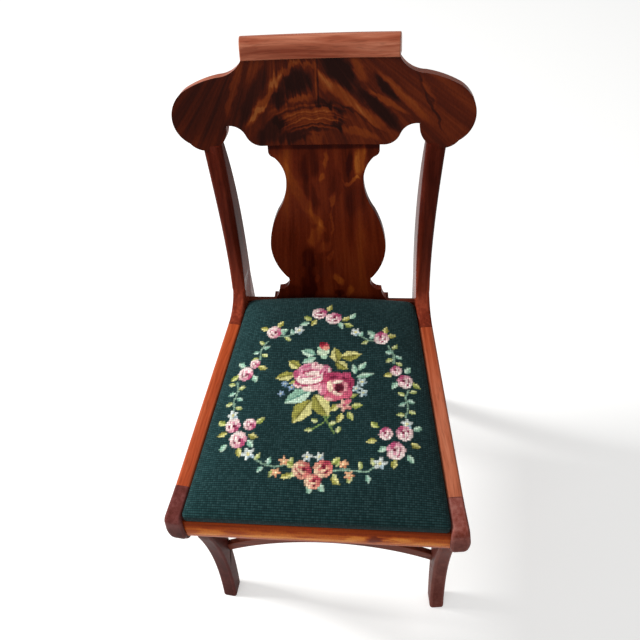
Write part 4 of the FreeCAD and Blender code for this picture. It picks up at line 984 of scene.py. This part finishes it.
for x, y, size in (
    (-14, 93, 11.96), (9, 83, 12.42), (-83, 54, 11.96), (85, 46, 11.96), (-107, -6, 8.28),
    (-119, -24, 12.42), (108, -13, 8.74), (121, -31, 11.96), (-126, -115, 11.96), (-101, -114, 9.66),
    (-115, -139, 13.34), (94, -123, 10.12), (120, -120, 12.42), (108, -149, 13.8),
):
    small_rose(x, y, size, *pink_wool, turn=x * 0.7)
for x, y, size in ((-20, -183, 13.5), (9, -180, 13.5), (-4, -199, 11.5)):
    small_rose(x, y, size, *salmon_wool, turn=x * 2)

# Bouquet: stems, leaves, the small flowers and the bud, then the two full roses.
bouquet_stem = "#74914f"
sprig([(4, -92), (8, -104), (22, -126)], [(19, -110, 20, 0), (27, -120, 80, 0)], bouquet_stem)
sprig([(14, -96), (4, -110), (-12, -122)], [(-8, -106, 160, 0), (-16, -122, 190, 0)], bouquet_stem)
for x, y, length, width, angle, greens in (
    (17, 11, 28, 17, 102, olive), (40, 10, 31, 18, 12, olive), (27, -8, 23, 15, -35, olive),
    (-46, -8, 22, 15, 148, olive), (-58, -30, 30, 16, 196, olive), (-26, 14, 24, 14, 162, sea),
    (-24, 0, 23, 11, 205, sea), (46, -14, 20, 8, 102, sea), (58, -8, 20, 8, 55, sea),
    (62, -25, 26, 9, 15, sea), (-36, -66, 44, 24, 212, sea), (-28, -92, 46, 26, 240, olive),
    (0, -81, 44, 27, -58, olive), (19, -84, 18, 10, 225, olive), (28, -101, 18, 9, 250, olive),
    (43, -97, 15, 9, 300, moss), (52, -79, 17, 9, 15, moss), (46, -62, 14, 7, 25, moss),
    (-44, -40, 16, 6, 200, moss),
):
    leaf(x, y, length, width, angle, *greens)
for x, y, size in ((-57, -44, 6), (-46, -50, 6), (-61, -61, 5.5)):
    blossom(x, y, size, blue_wool)
for x, y, size in ((58, -37, 8), (50, -49, 7), (60, -56, 8)):
    blossom(x, y, size, grey_wool)
blossom(34, -79, 11.5, ("#ebbda8", "#d0877f", "#b9506a"))
for oval in (
    (38, -72, 5, 4, 30, "#d9707f"), (-1, 8, 5, 5, 0, "#a9cdb0"), (-3, 17, 9.5, 8, 10, "#cfe2c2"),
    (-9, 22, 3, 5, 25, "#9fc4a4"), (-2, 27, 7, 6.5, 0, "#bf4453"), (-5, 31, 4.5, 3.5, 20, "#7c0f24"),
    (1, 23, 5, 4, 0, "#eb9c86"),
):
    petal(*oval)
full_rose(-18, -29, 27, (
    (0.0, 0.0, 0.92, 0.9, 0, "#d98fa3"), (-0.61, -0.52, 0.36, 0.26, 20, "#efc6c2"),
    (-0.02, -0.82, 0.42, 0.2, 0, "#f4dacd"), (0.40, -0.55, 0.46, 0.28, 35, "#e8aeb3"),
    (0.80, 0.34, 0.27, 0.44, 0, "#cf7890"), (0.97, 0.30, 0.08, 0.36, 0, "#f5dcd6"),
    (-0.86, 0.14, 0.18, 0.27, 0, "#bd5577"), (0.06, 0.46, 0.66, 0.42, 0, "#dc93a5"),
    (-0.10, -0.28, 0.84, 0.38, 10, "#a83f60"), (-0.06, -0.16, 0.76, 0.37, 8, "#f7e6da"),
    (0.12, 0.10, 0.48, 0.27, 10, "#f5dcd2"), (-0.46, 0.02, 0.20, 0.10, 25, "#e3a3ad"),
    (-0.34, 0.24, 0.20, 0.13, 0, "#a83f5f"), (-0.28, 0.20, 0.10, 0.07, 0, "#efc6c2"),
    (-0.06, 0.40, 0.24, 0.07, 15, "#b04a69"), (-0.32, 0.64, 0.24, 0.08, 22, "#b85a78"),
    (0.16, 0.74, 0.20, 0.24, 0, "#f2cfca"), (0.18, 0.80, 0.07, 0.13, 0, "#a83f5f"),
    (0.48, 0.62, 0.15, 0.20, 0, "#f0cac6"), (0.52, 0.34, 0.06, 0.24, -20, "#c0587a"),
    (0.72, 0.16, 0.07, 0.27, -15, "#a23558"), (-0.34, -0.06, 0.34, 0.06, 14, "#cb7690"),
    (0.28, -0.12, 0.30, 0.06, 24, "#d58a9c"), (0.06, 0.02, 0.26, 0.06, 8, "#b9506f"),
))
full_rose(20, -46, 26, (
    (0.0, 0.0, 0.92, 0.95, 0, "#b54463"), (-0.18, 0.70, 0.46, 0.26, -20, "#a8375a"),
    (0.48, 0.74, 0.36, 0.24, 10, "#b64566"), (-0.20, 0.58, 0.22, 0.10, 20, "#741a38"),
    (0.46, 0.56, 0.16, 0.08, -10, "#6b1733"), (0.78, 0.26, 0.24, 0.42, 0, "#a83859"),
    (0.84, 0.16, 0.06, 0.22, 0, "#741a38"), (0.58, -0.48, 0.36, 0.36, 0, "#c95872"),
    (-0.12, -0.72, 0.52, 0.28, 5, "#cf6278"), (-0.36, -0.86, 0.28, 0.10, -10, "#eab0aa"),
    (-0.76, -0.20, 0.25, 0.42, 0, "#d3768d"), (-0.90, -0.26, 0.08, 0.26, 0, "#efc0bf"),
    (0.06, -0.04, 0.54, 0.54, 0, "#d77e8b"), (-0.36, -0.02, 0.16, 0.38, 12, "#f5dcbf"),
    (0.08, 0.30, 0.30, 0.11, 15, "#f6e2ce"), (-0.06, -0.42, 0.14, 0.12, 0, "#f3dcc6"),
    (0.18, -0.54, 0.24, 0.08, 0, "#efc8b8"), (0.54, -0.04, 0.12, 0.30, 0, "#e09a9d"),
    (0.18, -0.10, 0.26, 0.35, 0, "#621229"), (0.14, -0.14, 0.14, 0.20, 0, "#42091b"),
    (0.30, -0.34, 0.09, 0.06, 0, "#c8606f"),
))

# Painted shade: the edge below the turn is plain ground, painted darker where it turns down beside the
# rails.
turn_below = 4.4
turned_down_painted_shade = painted[:, 2] < edge_rise * 1000 - turn_below
wool[turned_down_painted_shade] = linear("#0f2829")
colours = cover_mesh.attributes.new("wool", "FLOAT_COLOR", "CORNER")
colours.data.foreach_set("color", wool.ravel())

# Crewel wool in tent stitch: matt and slightly hairy, each stitch a small pillow, with painted shade
# between the rows and a painted highlight on each stitch's crown.
needlepoint, tree = new_material("wool_needlepoint")
dyed = add(tree, "Attribute", attribute_name="wool", give="Color")
cells = add(tree, "UVMap", uv_map="stitches")
lattice = {"Vector": cells, "Scale": 1.0, "Randomness": 0.12}
pillow = add(tree, "TexVoronoi", lattice, voronoi_dimensions="2D").node.outputs
height = add(tree, "MapRange", {0: pillow["Distance"], 1: 0.12, 2: 0.62, 3: 1.0, 4: 0.0})
across_row = add(tree, "SeparateXYZ", {0: cells}, give="Y")
between_rows = add(tree, "Math", {0: across_row, 1: 0.5}, operation="PINGPONG")
row = add(tree, "MapRange", {0: between_rows, 1: 0.1, 2: 0.46, 3: 1.0, 4: 0.0})
ridge = add(tree, "Mix", {0: 0.6, 2: height, 3: row}, data_type="FLOAT")
# Light scatters in pale wool, so the painted shade in the furrows between its stitches and the painted
# highlight on their crowns are weaker than in the dark ground.
paleness = add(tree, "RGBToBW", {0: dyed})
furrow_shade = add(tree, "MapRange", {0: paleness, 1: 0.05, 2: 0.4, 3: 0.3, 4: 0.66})
crown_highlight = add(tree, "MapRange", {0: paleness, 1: 0.05, 2: 0.4, 3: 1.5, 4: 1.2})
rib_light_and_shade = add(tree, "MapRange", {0: ridge, 1: 0.0, 2: 1.0, 3: furrow_shade, 4: crown_highlight})
twist = add(tree, "SeparateColor", {0: pillow["Color"]})
dye_lot = add(tree, "MapRange", {0: twist, 3: 0.76, 4: 1.22})
place = add(tree, "TexCoord", give="Object")
fading = add(tree, "TexNoise", {"Vector": place, "Scale": 14.0, "Detail": 3.0})
fading = add(tree, "MapRange", {0: fading, 1: 0.3, 2: 0.7, 3: 0.88, 4: 1.1})
shade = add(tree, "Math", {0: rib_light_and_shade, 1: dye_lot}, operation="MULTIPLY")
shade = add(tree, "Math", {0: shade, 1: fading}, operation="MULTIPLY")
colour = add(tree, "VectorMath", {0: dyed, 3: shade}, operation="SCALE")
# Painted glints: loose hairs catching the light are painted as a little added brightness on some stitches,
# which shows on the dark ground.
hair_glints = add(tree, "MapRange", {0: twist, 1: 0.3, 2: 1.0, 3: 0.0, 4: 0.012})
hair_glints = add(tree, "Math", {0: hair_glints, 1: ridge}, operation="MULTIPLY")
colour = add(tree, "VectorMath", {0: colour, 1: hair_glints}, operation="ADD")
relief = add(tree, "Bump", {"Height": height, "Strength": 0.7, "Distance": 0.0006})
shader = add(tree, "BsdfPrincipled", {
    "Base Color": colour, "Roughness": 0.92, "Normal": relief, "IOR": 1.45, "Specular IOR Level": 0.15,
    "Sheen Weight": 0.03, "Sheen Roughness": 0.5,
})
add(tree, "OutputMaterial", {"Surface": shader})
cover_mesh.materials.append(needlepoint)
canvas = cover.modifiers.new("canvas_and_wool", "SOLIDIFY")
canvas.thickness = cover_thickness
canvas.offset = -1
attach(cover, "slip_seat")
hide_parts("needlepoint_cover", "seat_stuffing")


# Webbing: six jute strips, tacked tight across the top of the loose seat's frame.
# They pass over and under each other, and carry the hessian and the horsehair.

web_low, web_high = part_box("seat_webbing")
web_length = web_high.y - web_low.y
web_width, web_spacing = 0.050, 0.088
web_thickness = 0.0009
web_clear = 0.0005
web_middle = (web_low.z + web_high.z) / 2
web_lift = 0.0005
hem = 0.013
along_middles = (-web_spacing, 0, web_spacing)
across_middles = (-0.1455, -0.0575, 0.0305)
stripe_place, stripe_half = 0.018, 0.002


def cloth_piece(name, shape, thickness, material, node):
    """A finished sheet of the seat's underside, given its thickness, that stands for a CAD node."""
    mesh = bpy.data.meshes.new(name)
    shape.to_mesh(mesh)
    shape.free()
    mesh.materials.append(material)
    mesh.shade_smooth()
    piece = bpy.data.objects.new(name, mesh)
    scene.collection.objects.link(piece)
    wall = piece.modifiers.new("thickness", "SOLIDIFY")
    wall.thickness = thickness
    wall.offset = 0
    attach(piece, "slip_seat")
    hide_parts(node)
    return piece


def woven_jute(name, thread, body, stripe, stripe_axis, stripe_middle):
    """Plain woven jute: threads over and under each other, with a dark stripe along each strip's edges."""
    material, tree = new_material(name)
    place = add(tree, "TexCoord", give="Object")
    parts = add(tree, "SeparateXYZ", {0: place}).node.outputs
    waves = []
    for axis in ("X", "Y"):
        turn = add(tree, "Math", {0: parts[axis], 1: math.pi / thread}, operation="MULTIPLY")
        waves.append(add(tree, "Math", {0: turn}, operation="SINE"))
    weave = add(tree, "Math", {0: waves[0], 1: waves[1]}, operation="MULTIPLY")
    # Painted shade where the threads dip under each other, and a painted highlight where they pass over.
    shade = add(tree, "MapRange", {0: weave, 1: -1.0, 2: 1.0, 3: 0.6, 4: 1.15})
    slub = add(tree, "TexNoise", {"Vector": place, "Scale": 160.0, "Detail": 3.0})
    slub = add(tree, "MapRange", {0: slub, 1: 0.3, 2: 0.7, 3: 0.75, 4: 1.2})
    shade = add(tree, "Math", {0: shade, 1: slub}, operation="MULTIPLY")
    colour = linear(body)
    if stripe:
        moved = add(tree, "Math", {0: parts[stripe_axis], 1: stripe_middle}, operation="SUBTRACT")
        off = add(tree, "Math", {0: moved, 1: web_spacing / 2}, operation="PINGPONG")
        gap = add(tree, "Math", {0: off, 1: stripe_place, 2: stripe_half}, operation="COMPARE")
        colour = add(tree, "Mix", {0: gap, 6: colour, 7: linear(stripe)}, data_type="RGBA", give=2)
    scaled = add(tree, "VectorMath", {0: colour[:3] if not stripe else colour, 3: shade}, operation="SCALE")
    relief = add(tree, "Bump", {"Height": weave, "Strength": 0.5, "Distance": 0.0005})
    shader = add(tree, "BsdfPrincipled", {
        "Base Color": scaled, "Roughness": 0.95, "Normal": relief, "Specular IOR Level": 0.1,
    })
    add(tree, "OutputMaterial", {"Surface": shader})
    return material


def woven_height(x, y, sign):
    """Over one strip and under the next, with an easy slope between them."""
    wave = math.cos(math.pi * (x - along_middles[0]) / web_spacing)
    wave *= math.cos(math.pi * (y - across_middles[0]) / web_spacing)
    return web_middle + sign * web_lift * max(-1, min(1, 2.2 * wave))


strips = bmesh.new()
for middle in along_middles:
    size = Matrix.Diagonal((web_width / 2, web_length / 2 - web_clear, 1, 1))
    place = Matrix.Translation((middle, (web_low.y + web_high.y) / 2, 0))
    bmesh.ops.create_grid(strips, x_segments=6, y_segments=90, size=1, matrix=place @ size)
for vert in strips.verts:
    vert.co.z = woven_height(vert.co.x, vert.co.y, 1)
# Jute webbing: matt tan threads about 2 mm thick, with a brown stripe along both edges of a strip.
jute = (0.0022, "#a5814f", "#5e3b24")
jute_along = woven_jute("jute_webbing_along", *jute, "X", 0.0)
long_webs = cloth_piece("long_webbing", strips, web_thickness, jute_along, "seat_webbing")

strips = bmesh.new()
for middle in across_middles:
    size = Matrix.Diagonal((1, web_width / 2, 1, 1))
    place = Matrix.Translation((0, middle, 0))
    bmesh.ops.create_grid(strips, x_segments=80, y_segments=6, size=1, matrix=place @ size)
for vert in strips.verts:
    vert.co.x *= half_at(vert.co.y) - hem / math.cos(splay)
    vert.co.z = woven_height(vert.co.x, vert.co.y, -1)
jute_across = woven_jute("jute_webbing_across", *jute, "Y", across_middles[1])
cross_webs = cloth_piece("cross_webbing", strips, web_thickness, jute_across, "seat_webbing")


# Hessian: one piece of coarse jute cloth over the webbing, tacked round the frame under the horsehair.
# It shows only from below, between the strips.

hessian_low, hessian_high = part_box("seat_hessian")
hessian_hem = 0.0146
hessian_thickness = 0.0005
hessian_length = hessian_high.y - hessian_low.y
hessian_y = (hessian_low.y + hessian_high.y) / 2
hessian_z = (hessian_low.z + hessian_high.z) / 2
under_cloth = bmesh.new()
place = Matrix.Translation((0, hessian_y, hessian_z))
size = Matrix.Diagonal((1, hessian_length / 2, 1, 1))
bmesh.ops.create_grid(under_cloth, x_segments=24, y_segments=24, size=1, matrix=place @ size)
for vert in under_cloth.verts:
    vert.co.x *= half_at(vert.co.y) - hessian_hem / math.cos(splay)

# Hessian: coarse dull brown jute cloth with threads a little under 2 mm apart.
hessian_jute = woven_jute("coarse_hessian", 0.0018, "#8d6f45", None, "X", 0.0)
hessian = cloth_piece("hessian_cloth", under_cloth, hessian_thickness, hessian_jute, "seat_hessian")


# Cover tacks: cut iron tacks with flat heads that hold the cover's edge under the frame.
# They have gone brown with rust.

# Rusted iron: dark grey brown with orange spots, dull where the rust is thick.
rusty_iron, tree = new_material("rusty_iron")
place = add(tree, "TexCoord", give="Object")
rust = add(tree, "TexNoise", {"Vector": place, "Scale": 420.0, "Detail": 3.0})
rust_tones = [(0.35, linear("#3a322d")), (0.55, linear("#5a4235")), (0.7, linear("#7d4a2c"))]
colour = add(tree, "ValToRGB", {0: rust}, stops=rust_tones)
rough = add(tree, "MapRange", {0: rust, 3: 0.4, 4: 0.8})
shader = add(tree, "BsdfPrincipled", {"Base Color": colour, "Roughness": rough, "Metallic": 0.6})
add(tree, "OutputMaterial", {"Surface": shader})
recoloured("cover_tacks", rusty_iron)
